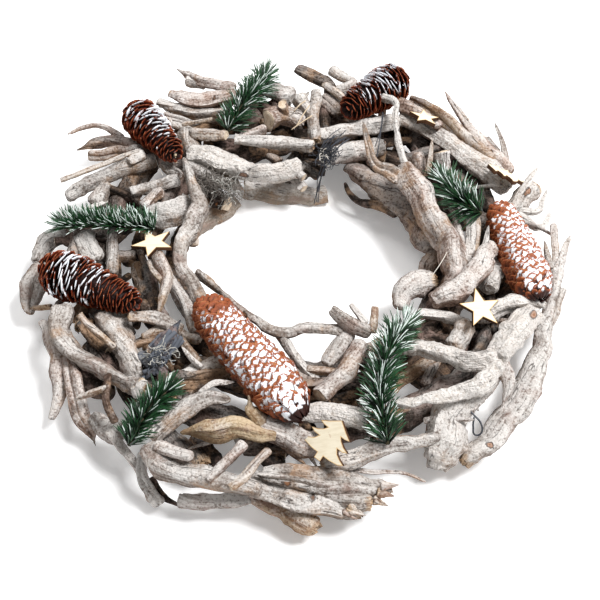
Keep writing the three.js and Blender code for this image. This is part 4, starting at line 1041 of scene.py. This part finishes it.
def dressed_end(piece, tip, half, shape, draw):
    """Models a sawn end's dished face or a broken end's splinters, all sized by the stick's radius there."""
    reach = 1.3 * half

    def on_the_end(face):
        return len(face.vertices) == 3 and (face.center - tip).length < reach

    with editing(piece, "FACE", on_the_end):
        bpy.ops.mesh.dissolve_faces()
        piece.active_material_index = 1 if shape == "cut" else 2
        bpy.ops.object.material_slot_assign()
        if shape == "cut":
            bpy.ops.mesh.inset(thickness=0.08 * half, depth=0.05 * half)
            bpy.ops.mesh.inset(thickness=0.4 * half, depth=-0.04 * half)
        else:
            for _ in range(3):
                bpy.ops.mesh.inset(thickness=0.22 * half)
            bpy.ops.mesh.select_more()
            bpy.ops.mesh.select_more()
            bpy.ops.transform.vertex_random(offset=0.5 * half, uniform=0, normal=0, seed=draw.randrange(99))
        bpy.ops.mesh.select_all(action="DESELECT")


def swept(path, draw):
    """A path swept with a lumpy section, which turns a little from bend to bend."""
    curve = new_curve("stick", dimensions="3D", resolution_u=round(STRETCH / RING_GAP), bevel_mode="OBJECT")
    curve.bevel_object = draw.choice(SECTIONS)
    curve.use_fill_caps = True
    twist = draw.uniform(-TWIST, TWIST)
    bends = smooth_line(curve, [place for place, _ in path])
    for order, (bend, (_, half)) in enumerate(zip(bends, path)):
        bend.radius = half
        bend.tilt = order * twist
    return as_mesh("stick", curve)


def map_grain(piece, path):
    """Scales the grain map to the length of the stick and the way round it."""
    length = sum((after[0] - before[0]).length for before, after in zip(path, path[1:]))
    round_it = math.tau * sum(half for _, half in path) / len(path)
    layer = piece.data.uv_layers[0].data
    grain = np.empty(len(layer) * 2, dtype=np.float32)
    layer.foreach_get("uv", grain)
    grain *= np.tile([length * GRAIN_ALONG, round_it * GRAIN_ROUND], len(layer)).astype(np.float32)
    layer.foreach_set("uv", grain)


def mark_ends(piece, ends):
    """Marks how far each corner is from the nearer end, in radii, and how fresh the wood looks there."""
    places = corners(piece)
    nearest = [np.linalg.norm(places - np.array(tip), axis=1) / half for (tip, half), _ in ends]
    mark(piece, "rim", np.minimum(*nearest))
    torn = [1 - away / FRESH_REACH[shape] for away, (_, shape) in zip(nearest, ends)]
    mark(piece, "fresh", np.clip(np.maximum(*torn), 0, 1))


def stick(look, bends, number):
    """One stick: a smooth path through its bends, swept with a lumpy section, and its two ends dressed."""
    draw = random.Random(number)
    colour, first_end, last_end = look.split()
    path = with_end(softened(bends, draw), last_end)
    path = with_end(path[::-1], first_end)[::-1]
    piece = swept(path, draw)
    for material in (WOODS[colour], SAWN_END, BROKEN_END):
        piece.data.materials.append(material)
    map_grain(piece, path)
    with editing(piece):
        bpy.ops.mesh.remove_doubles(threshold=WELD)
    ends = ((path[0], first_end), (path[-1], last_end))
    for (tip, half), shape in ends:
        if shape in ("cut", "broken"):
            dressed_end(piece, tip, half, shape, draw)
    mark_ends(piece, ends)
    mark(piece, "stick", draw.random())
    relief = piece.vertex_groups.new(name="relief")
    thickness = 2 / MM * sum(half for _, half in path) / len(path)
    relief.add(list(range(len(piece.data.vertices))), min(1, thickness / FULL_RELIEF), "REPLACE")
    return piece


def stick_bundle(name, sticks, number, knobs=KNOB_DEPTH):
    """The sticks of one node, joined, with swellings and knobs all over and ribs along the grain."""
    first = number * SEEDS_PER_BUNDLE
    piece = joined([stick(look, bends, first + order) for order, (look, bends) in enumerate(sticks)], name)
    on_the_spot = {"texture_coords": "LOCAL", "vertex_group": "relief", "mid_level": 0.5}
    along_the_grain = {**on_the_spot, "texture_coords": "UV", "uv_layer": "UVMap"}
    modified(piece, "DISPLACE", texture=SWELLINGS, strength=SWELLING_DEPTH, **on_the_spot)
    modified(piece, "DISPLACE", texture=KNOBS, strength=knobs, **on_the_spot)
    modified(piece, "DISPLACE", texture=RIBS, strength=RIB_DEPTH, **along_the_grain)
    only(piece)
    bpy.ops.object.shade_smooth_by_angle(angle=SHARP_EDGE)
    return piece


def clouds(name, size, detail):
    """A soft, random pattern that moves the surface of the wood in and out."""
    return with_settings(bpy.data.textures.new(name, "CLOUDS"), {"noise_scale": size, "noise_depth": detail})


def under_wood(quarter):
    """The dark sticks under one quarter of the ring: two along it and one across."""
    middle = 45 + 90 * quarter

    def bend(degrees, radius, height, thickness):
        angle = math.radians(middle + degrees)
        return (math.cos(angle) * radius, math.sin(angle) * radius, height, thickness)

    sticks = []
    for radius in UNDER_RADII:
        turns = (-UNDER_SPREAD, 0, UNDER_SPREAD)
        sticks.append(("bark worn worn", [bend(turn, radius, UNDER_HEIGHT, UNDER_STICK) for turn in turns]))
    reaches = (CROSS_INNER_ENDS[quarter], CROSS_OUTER_END)
    sticks.append(("bark cut worn", [bend(0, *end, UNDER_CROSS) for end in zip(reaches, CROSS_HEIGHTS)]))
    return sticks


def base_rods():
    """The rods that the wreath stands on."""
    rods = []
    for colour, (x0, y0), (x1, y1) in BASE_RODS:
        ends = [(x0, y0, BASE_HEIGHT, BASE_ROD), (x1, y1, BASE_HEIGHT, BASE_ROD)]
        rods.append((f"{colour} cut cut", ends))
    return rods


def loose_fill(quarter):
    """Short sticks tucked under and between the named ones, where the wreath can't be seen through."""
    draw = random.Random(FILL_SEED + quarter)
    sticks = []
    while len(sticks) < FILL_STICKS:
        turn = math.radians(90 * quarter + draw.uniform(0, 90))
        radius = draw.uniform(*FILL_RADII)
        height = draw.uniform(*FILL_HEIGHTS)
        way = turn + math.radians(draw.choice((90, 90, 0)) + draw.gauss(0, 28))
        half = draw.uniform(*FILL_HALF_LENGTHS)
        thickness = draw.uniform(*FILL_THICKNESSES)
        bends = []
        for share, kink in ((-1, 0), (0, draw.uniform(-5, 5)), (1, 0)):
            x = math.cos(turn) * radius + math.cos(way) * half * share - math.sin(way) * kink
            y = math.sin(turn) * radius * SQUASH + math.sin(way) * half * share + math.cos(way) * kink
            bends.append((x, y, height + share * draw.uniform(-6, 6), thickness * draw.uniform(0.8, 1.1)))
        inside = all(FILL_INNER < math.hypot(x, y / SQUASH) < FILL_OUTER for x, y, _, _ in bends)
        if inside and not any(blocks(bend, gap) for bend in bends for gap in GAPS):
            # Mostly near-black wood: painted shade in the depths between the named sticks
            colour = draw.choice(("dark", "brown", "bark", "dark", "dark", "bark"))
            sticks.append((f"{colour} worn {draw.choice(('worn', 'cut', 'broken'))}", bends))
    return sticks


def rim_twigs(quarter):
    """Thin twigs that stick out of the outer edge and over the logs."""
    draw = random.Random(RIM_SEED + quarter)
    sticks = []
    for number in range(RIM_TWIGS):
        turn = math.radians(90 * (quarter + (number + draw.random()) / RIM_TWIGS))
        radius = draw.uniform(*RIM_RADII)
        way = turn + math.radians(draw.choice((-1, 1)) * draw.uniform(20, 80))
        length = draw.uniform(*RIM_LENGTHS)
        height = draw.uniform(*RIM_HEIGHTS)
        x, y = math.cos(turn) * radius, math.sin(turn) * radius * SQUASH
        kink = draw.uniform(-4, 4)
        bends = [(x - math.cos(way) * 14, y - math.sin(way) * 14, height - 5, 4.5)]
        bends.append((x + math.cos(turn) * kink, y + math.sin(turn) * kink, height, 3.8))
        bends.append((x + math.cos(way) * length * 0.6, y + math.sin(way) * length * 0.6, height + 2, 2.8))
        sticks.append((f"{draw.choice(('grey', 'pink', 'brown', 'grey'))} worn point", bends))
    return [twig for twig in sticks if math.hypot(twig[1][-1][0], twig[1][-1][1] / SQUASH) < RIM_REACH]


def blocks(bend, gap):
    """Whether a stick here hides the floor that the gap shows, looking along the line of sight."""
    x, y, height, thickness = bend
    gap_x, gap_y, gap_reach = gap
    return math.hypot(x - gap_x, y + SIGHT_SLOPE * height - gap_y) < gap_reach + 0.65 * thickness


# Cones


def woody_scale():
    """One scale: its root at the origin, its free edge one unit along X, its inner face up."""
    bpy.ops.mesh.primitive_uv_sphere_add(segments=10, ring_count=6, radius=0.5, location=(0.5, 0, 0))
    scale = bpy.context.view_layer.objects.active
    only(scale)
    bpy.ops.object.transform_apply(location=True, rotation=True, scale=True)
    with editing(scale, "VERT", lambda corner: corner.co.x < 0.55):
        bpy.ops.transform.resize(value=(1, 0.72, 0.9), center_override=(0, 0, 0))
    with editing(scale, "VERT", lambda corner: corner.co.x < 0.3):
        bpy.ops.transform.resize(value=(1, 0.6, 0.8), center_override=(0, 0, 0))
    with editing(scale, "VERT", lambda corner: corner.co.x > 0.8):
        bpy.ops.transform.resize(value=(1, 0.96, 1.25), center_override=(0, 0, 0))
        bpy.ops.transform.translate(value=(0, 0, 0.12))
    places = corners(scale)
    mark(scale, "rim", places[:, 0])
    mark(scale, "brink", np.hypot(2 * places[:, 0] - 1, 2 * places[:, 1]))
    only(scale)
    bpy.ops.object.shade_smooth()
    return scale


def copy_of(template, matrix):
    """A copy with its own mesh, its place and size in the mesh."""
    mesh = template.data.copy()
    mesh.transform(matrix)
    return linked(template.name, mesh)


def cone_reach(t, fat, thin):
    """How far the scales reach from the axis at this share of the length."""
    swell = math.sqrt(max(0, 1 - ((CONE_WIDEST - min(t, CONE_WIDEST)) / CONE_ROUND) ** 2))
    past = max(0, (t - CONE_WIDEST) / (1 - CONE_WIDEST)) ** 1.2
    closing = math.sqrt(max(0, 1 - (max(0, t - CONE_CLOSES_FROM) / CONE_CLOSING) ** 2))
    return (fat + (thin - fat) * past) / 2 * MM * swell * closing


def snow_on(snow, t, outward):
    """How much snow a scale holds at this share of the length, on this side of the cone."""
    (start, end), side, thickness = snow
    middle, half = (start + end) / 2, (end - start) / 2
    along = max(0, 1 - (abs(t - middle) / half) ** 4)
    return thickness * along * max(0, min(1, 0.25 + outward.dot(Vector(side).normalized())))


def scale_lean(t, open, flare):
    """How far the scales at this share of the length lean from the axis, in degrees."""
    at_the_base = max(0, 1 - t / CONE_END)
    at_the_tip = max(0, (t - (1 - CONE_END)) / CONE_END)
    return open + flare * at_the_base - CONE_TIP_CLOSES * at_the_tip


def cone_core(start, length, fat, directions):
    """The woody middle of a cone, without snow."""
    bpy.ops.mesh.primitive_uv_sphere_add(segments=16, ring_count=12, radius=0.5)
    core = bpy.context.view_layer.objects.active
    core.data.transform(Matrix.Diagonal((length * 0.9, fat * 0.6 * MM, fat * 0.6 * MM, 1)))
    core.data.transform(axes(*directions))
    core.data.transform(Matrix.Translation(start + directions[0] * length * 0.46))
    # Marked as a root all over, so the core takes the near-black painted shade of the scales' roots
    for name in ("rim", "coat", "brink"):
        mark(core, name, 0.0)
    return core


def conifer_cone(name, base, tip, fat, thin, scales, open, flare, plate, wide, paint, snow):
    """A cone: a core with scales in spirals, wide open at the round end and closing towards the tip."""
    draw = random.Random(name)
    start, end = at(*base), at(*tip)
    axis = (end - start).normalized()
    length = (end - start).length
    across = (UP - axis * axis.z).normalized()
    other = axis.cross(across)
    pieces = [cone_core(start, length, fat, (axis, across, other))]
    for number in range(scales):
        t = 0.02 + 0.98 * (number + 0.5) / scales
        turn = number * GOLDEN_TURN + draw.uniform(-0.08, 0.08)
        outward = across * math.cos(turn) + other * math.sin(turn)
        reach = cone_reach(t, fat, thin) * draw.uniform(0.94, 1.05)
        small = BASE_SCALE + (1 - BASE_SCALE) * min(1, t / BASE_GROWS)
        lean = math.radians(scale_lean(t, open, flare) + draw.uniform(-8, 8))
        blade = axis * math.cos(lean) + outward * math.sin(lean)
        inner = axis * math.sin(lean) - outward * math.cos(lean)
        askew = math.radians(draw.uniform(-14, 14))
        side = inner.cross(blade) * math.cos(askew) + inner * math.sin(askew)
        inner = blade.cross(side)
        root_reach = SCALE_ROOT * reach
        size = (reach - root_reach) / max(0.5, math.sin(lean)) * small
        coat = snow_on(snow, t, outward) * draw.uniform(0.6, 1.1)
        width = (size * 0.3 + math.tau * reach / SCALES_ROUND) * wide * small * draw.uniform(0.85, 1.1)
        thick = (plate + 1.8 * max(0, coat - 0.5)) * MM
        root = start + axis * (t * length - size * math.cos(lean)) + outward * root_reach
        scale = copy_of(SCALE, Matrix.Translation(root) @ axes(blade * size, side * width, inner * thick))
        mark(scale, "coat", coat)
        pieces.append(scale)
    for piece in pieces:
        piece.data.materials.clear()
        piece.data.materials.append(paint)
    return joined(pieces, name)


# Fir sprigs


def fir_needle():
    """One needle: its root at the origin, one unit long along Z, flattened and gently bent."""
    bpy.ops.mesh.primitive_circle_add(vertices=5, radius=0.5, fill_type="NGON", location=(0, 0, 0))
    needle = bpy.context.view_layer.objects.active
    steps = [(0.3, 0.02, 1.0), (0.35, 0.05, 0.85), (0.25, 0.06, 0.62), (0.1, 0.03, 0.3)]
    with editing(needle, "FACE"):
        for rise, drift, narrowing in steps:
            shift = {"value": (drift, 0, rise)}
            bpy.ops.mesh.extrude_region_move(TRANSFORM_OT_translate=shift)
            bpy.ops.transform.resize(value=(narrowing, narrowing, 1))
    with editing(needle):
        bpy.ops.mesh.normals_make_consistent(inside=False)
    mark(needle, "rim", corners(needle)[:, 2])
    only(needle)
    bpy.ops.object.shade_smooth()
    return needle


def point_on(bends, t):
    """The place and the direction at this share of a smooth line through the bends."""
    points = [at(*bend) for bend in bends]
    spot = t * (len(points) - 1)
    number = min(int(spot), len(points) - 2)
    start, end = points[number], points[number + 1]
    before = points[max(number - 1, 0)]
    after = points[min(number + 2, len(points) - 1)]
    part = spot - number
    first, second = (end - before) / 2, (after - start) / 2
    bend, settle = start * -3 + end * 3 - first * 2 - second, start * 2 - end * 2 + first + second
    place = start + first * part + bend * part ** 2 + settle * part ** 3
    return place, (first + bend * 2 * part + settle * 3 * part ** 2).normalized()


def fir_sprig(name, bends, needles, reach, leans, sides, snow):
    """A wired stem with needles that lean towards its tip and close to a brush there."""
    draw = random.Random(name)
    stem = strands(f"{name}_stem", [bends], SPRIG_STEM, STEM)
    for mark_name in ("rim", "coat", "stick"):
        mark(stem, mark_name, 0.0)
    pieces = [stem]
    for number in range(needles):
        t = number / (needles - 1)
        place, along = point_on(bends, t)
        aside = UP.cross(along).normalized()
        upward = along.cross(aside)
        turn = math.radians(draw.uniform(*sides))
        lean = math.radians(draw.uniform(*leans) * (1 - 0.6 * max(0, (t - 0.85) / 0.15)))
        outward = upward * math.cos(turn) + aside * math.sin(turn)
        needle_way = along * math.cos(lean) + outward * math.sin(lean)
        bow = (along - needle_way * along.dot(needle_way)).normalized()
        flat = needle_way.cross(bow)
        length = reach * MM * draw.uniform(0.78, 1.15)
        width = NEEDLE_WIDTH * MM * draw.uniform(0.85, 1.2)
        turned = axes(bow * width, flat * width * NEEDLE_FLATNESS, needle_way * length)
        needle = copy_of(NEEDLE, Matrix.Translation(place) @ turned)
        snowy = draw.random() < snow * (0.5 + 0.7 * outward.z)
        mark(needle, "coat", draw.uniform(0.35, 0.95) if snowy else draw.uniform(0.0, 0.1))
        mark(needle, "stick", draw.random())
        needle.data.materials.append(FIR)
        pieces.append(needle)
    return joined(pieces, name)


# Plywood, wire and lichen


def strands(name, runs, thickness, look):
    """Round wires, stems or threads, each through the bends of one run."""
    curve = new_curve(name, dimensions="3D", resolution_u=5, bevel_resolution=2, use_fill_caps=True)
    curve.bevel_depth = thickness / 2 * MM
    for bends in runs:
        smooth_line(curve, [at(*bend) for bend in bends])
    piece = as_mesh(name, curve)
    piece.data.materials.append(look)
    with editing(piece):
        bpy.ops.mesh.remove_doubles(threshold=FINE_WELD)
    return piece


def plywood(name, outline, place, turns):
    """A shape cut from plywood, its sides scorched by the cutter and the rim of its faces toasted."""
    curve = new_curve(name, dimensions="2D", fill_mode="BOTH", extrude=(PLY / 2 - PLY_EDGE) * MM)
    curve.bevel_depth = PLY_EDGE * MM
    curve.offset = -PLY_EDGE * MM
    closed_outline(curve, [(x * MM, y * MM) for x, y in outline])
    piece = as_mesh(name, curve)
    for material in (SCORCHED, PLYWOOD, RIM):
        piece.data.materials.append(material)
    with editing(piece):
        bpy.ops.mesh.remove_doubles(threshold=WELD)
        bpy.ops.mesh.normals_make_consistent(inside=False)
    with editing(piece, "FACE", lambda face: abs(face.normal.z) > 0.9):
        bpy.ops.mesh.dissolve_faces()
        piece.active_material_index = 2
        bpy.ops.object.material_slot_assign()
        bpy.ops.mesh.inset(thickness=PLY_RIM * MM)
        piece.active_material_index = 1
        bpy.ops.object.material_slot_assign()
    rotation = Euler([math.radians(turn) for turn in turns], "XYZ").to_matrix().to_4x4()
    piece.data.transform(Matrix.Translation(at(*place)) @ rotation)
    return piece


def star_outline(reach):
    """A star's ten corners, by turns at its points and at its waist."""
    points = []
    for number in range(10):
        far = reach if number % 2 == 0 else reach * STAR_WAIST
        angle = math.pi / 2 + math.pi / 5 * number
        points.append((far * math.cos(angle), far * math.sin(angle)))
    return points


def tree_outline():
    """A tree's corners, up its left side and down the right one."""
    left = [(-x, y) for x, y in TREE_SIDE]
    return left + list(reversed(TREE_SIDE[1:]))


def tuft(name, middle, reach, hairs, thickness, look):
    """Short hairs or wires that curl every way from one spot."""
    draw = random.Random(name)
    runs = []
    for _ in range(hairs):
        bends = [Vector(middle) + astray(draw, reach / 4)]
        way = astray(draw, 1).normalized()
        for _ in range(3):
            way = (way + astray(draw, 0.6)).normalized()
            bends.append(bends[-1] + way * reach * 0.2)
        runs.append(bends)
    return strands(name, runs, thickness, look)


def tangle(name, bends, stray, wires, thickness, look):
    """Fibres or wires that run much the same way and cross each other."""
    draw = random.Random(name)
    runs = []
    for _ in range(wires):
        shift = astray(draw, stray)
        kept = bends[:draw.randint(3, len(bends))]
        runs.append([Vector(bend) + shift + astray(draw, stray / 2) for bend in kept])
    return strands(name, runs, thickness, look)


# The wreath

SECTIONS = section_curves()
SWELLINGS = clouds("swellings", SWELLING_SIZE, 1)
KNOBS = clouds("knobs", KNOB_SIZE, 1)
RIBS = clouds("ribs", RIB_SIZE, 2)

for order, (node, sticks) in enumerate(STICKS.items()):
    knobs = KNOBBLY_DEPTH if node in KNOBBLY_WOOD else KNOB_DEPTH
    handed_over(stick_bundle(f"{node}_wood", sticks, order, knobs), "driftwood", node)

rods = stick_bundle("peeled_base_rods", base_rods(), BASE_BUNDLE)
with editing(rods, "VERT", lambda corner: corner.co.z < 0):
    bpy.ops.transform.resize(value=(1, 1, 0), center_override=(0, 0, 0))
handed_over(rods, "peeled_rod", "base_ring")

for quarter in range(4):
    bundle = stick_bundle(f"under_wood_{quarter + 1}_bark", under_wood(quarter), UNDER_BUNDLE + quarter)
    handed_over(bundle, "dark_wood", f"under_wood_{quarter + 1}")

for quarter in range(4):
    sticks = loose_fill(quarter) + rim_twigs(quarter)
    handed_over(stick_bundle(f"loose_twigs_{quarter + 1}", sticks, LOOSE_BUNDLE + quarter), "driftwood")

handed_over(stick_bundle("tucked_sticks", TUCKED, TUCKED_BUNDLE), "driftwood")

SCALE = woody_scale()
for node, facts in CONES.items():
    handed_over(conifer_cone(f"{node}_scales", **facts), "cone", node)

NEEDLE = fir_needle()
for node, facts in SPRIGS.items():
    handed_over(fir_sprig(f"{node}_needles", *facts), "fir", node)

for node, (place, turns, reach) in STARS.items():
    handed_over(plywood(f"{node}_ply", star_outline(reach), place, turns), "plywood", node)
for node, (place, turns) in TREES.items():
    handed_over(plywood(f"{node}_ply", tree_outline(), place, turns), "plywood", node)

handed_over(strands("binding_wire", [WIRE_LOOP], WIRE, BINDING), "wire", "binding_wire_loop")

for make, list_of_facts in ((tuft, TUFTS), (tangle, TANGLES)):
    for facts in list_of_facts:
        handed_over(make(*facts), "wire" if facts[-1] is BINDING else "driftwood")

for name, bends, thickness, look in THREADS:
    handed_over(strands(name, [bends], thickness, look), "driftwood" if look is STALK else "wire")

for template in [*SECTIONS, SCALE, NEEDLE]:
    bpy.data.objects.remove(template)


# The floor, the light and the camera

# The floor's size and its glow, and how bright the light from all round is
FLOOR_SIZE = 5
FLOOR_GLOW = 0.2
SKY = 0.35

# Softboxes that shine at the wreath: the place, the size and the power
SOFTBOXES = {
    "softbox_on_the_right": ((1.05, 0.0, 2.1), 0.7, 82),
    "softbox_behind": ((-0.6, 1.0, 1.3), 0.6, 11),
}

# The camera: its place and the spot it looks at, its lens and the width of its sensor
CAMERA_PLACE = (0, -499.6, 687.7)
CAMERA_AIM = (0.5, -20.5, 0)
LENS = 66.6
SENSOR = 36


def aimed(piece, place, spot):
    """Puts a lamp or the camera in its place and turns it to a spot."""
    piece.location = place
    piece.rotation_euler = (Vector(spot) - Vector(place)).to_track_quat("-Z", "Y").to_euler()


def floor():
    bpy.ops.mesh.primitive_plane_add(size=FLOOR_SIZE)
    piece = bpy.context.view_layer.objects.active
    piece.name = "floor"
    paper = plain("white_paper", tone(250, 250, 250), 0.9)
    shader = paper.node_tree.nodes["Principled BSDF"]
    shader.inputs["Emission Color"].default_value = (1, 1, 1, 1)
    shader.inputs["Emission Strength"].default_value = FLOOR_GLOW
    piece.data.materials.append(paper)


def studio():
    world = bpy.data.worlds.new("studio")
    world.use_nodes = True
    sky = world.node_tree.nodes["Background"]
    sky.inputs["Color"].default_value = (1, 1, 1, 1)
    sky.inputs["Strength"].default_value = SKY
    bpy.context.scene.world = world
    for name, (place, size, power) in SOFTBOXES.items():
        light = with_settings(bpy.data.lights.new(name, "AREA"), {"size": size, "energy": power})
        aimed(linked(name, light), place, (0, 0, 0))


def camera():
    lens = with_settings(bpy.data.cameras.new("camera"), {"lens": LENS, "sensor_width": SENSOR})
    eye = linked("camera", lens)
    aimed(eye, at(*CAMERA_PLACE), at(*CAMERA_AIM))
    bpy.context.scene.camera = eye


floor()
studio()
camera()
bpy.context.scene.view_settings.view_transform = "Standard"
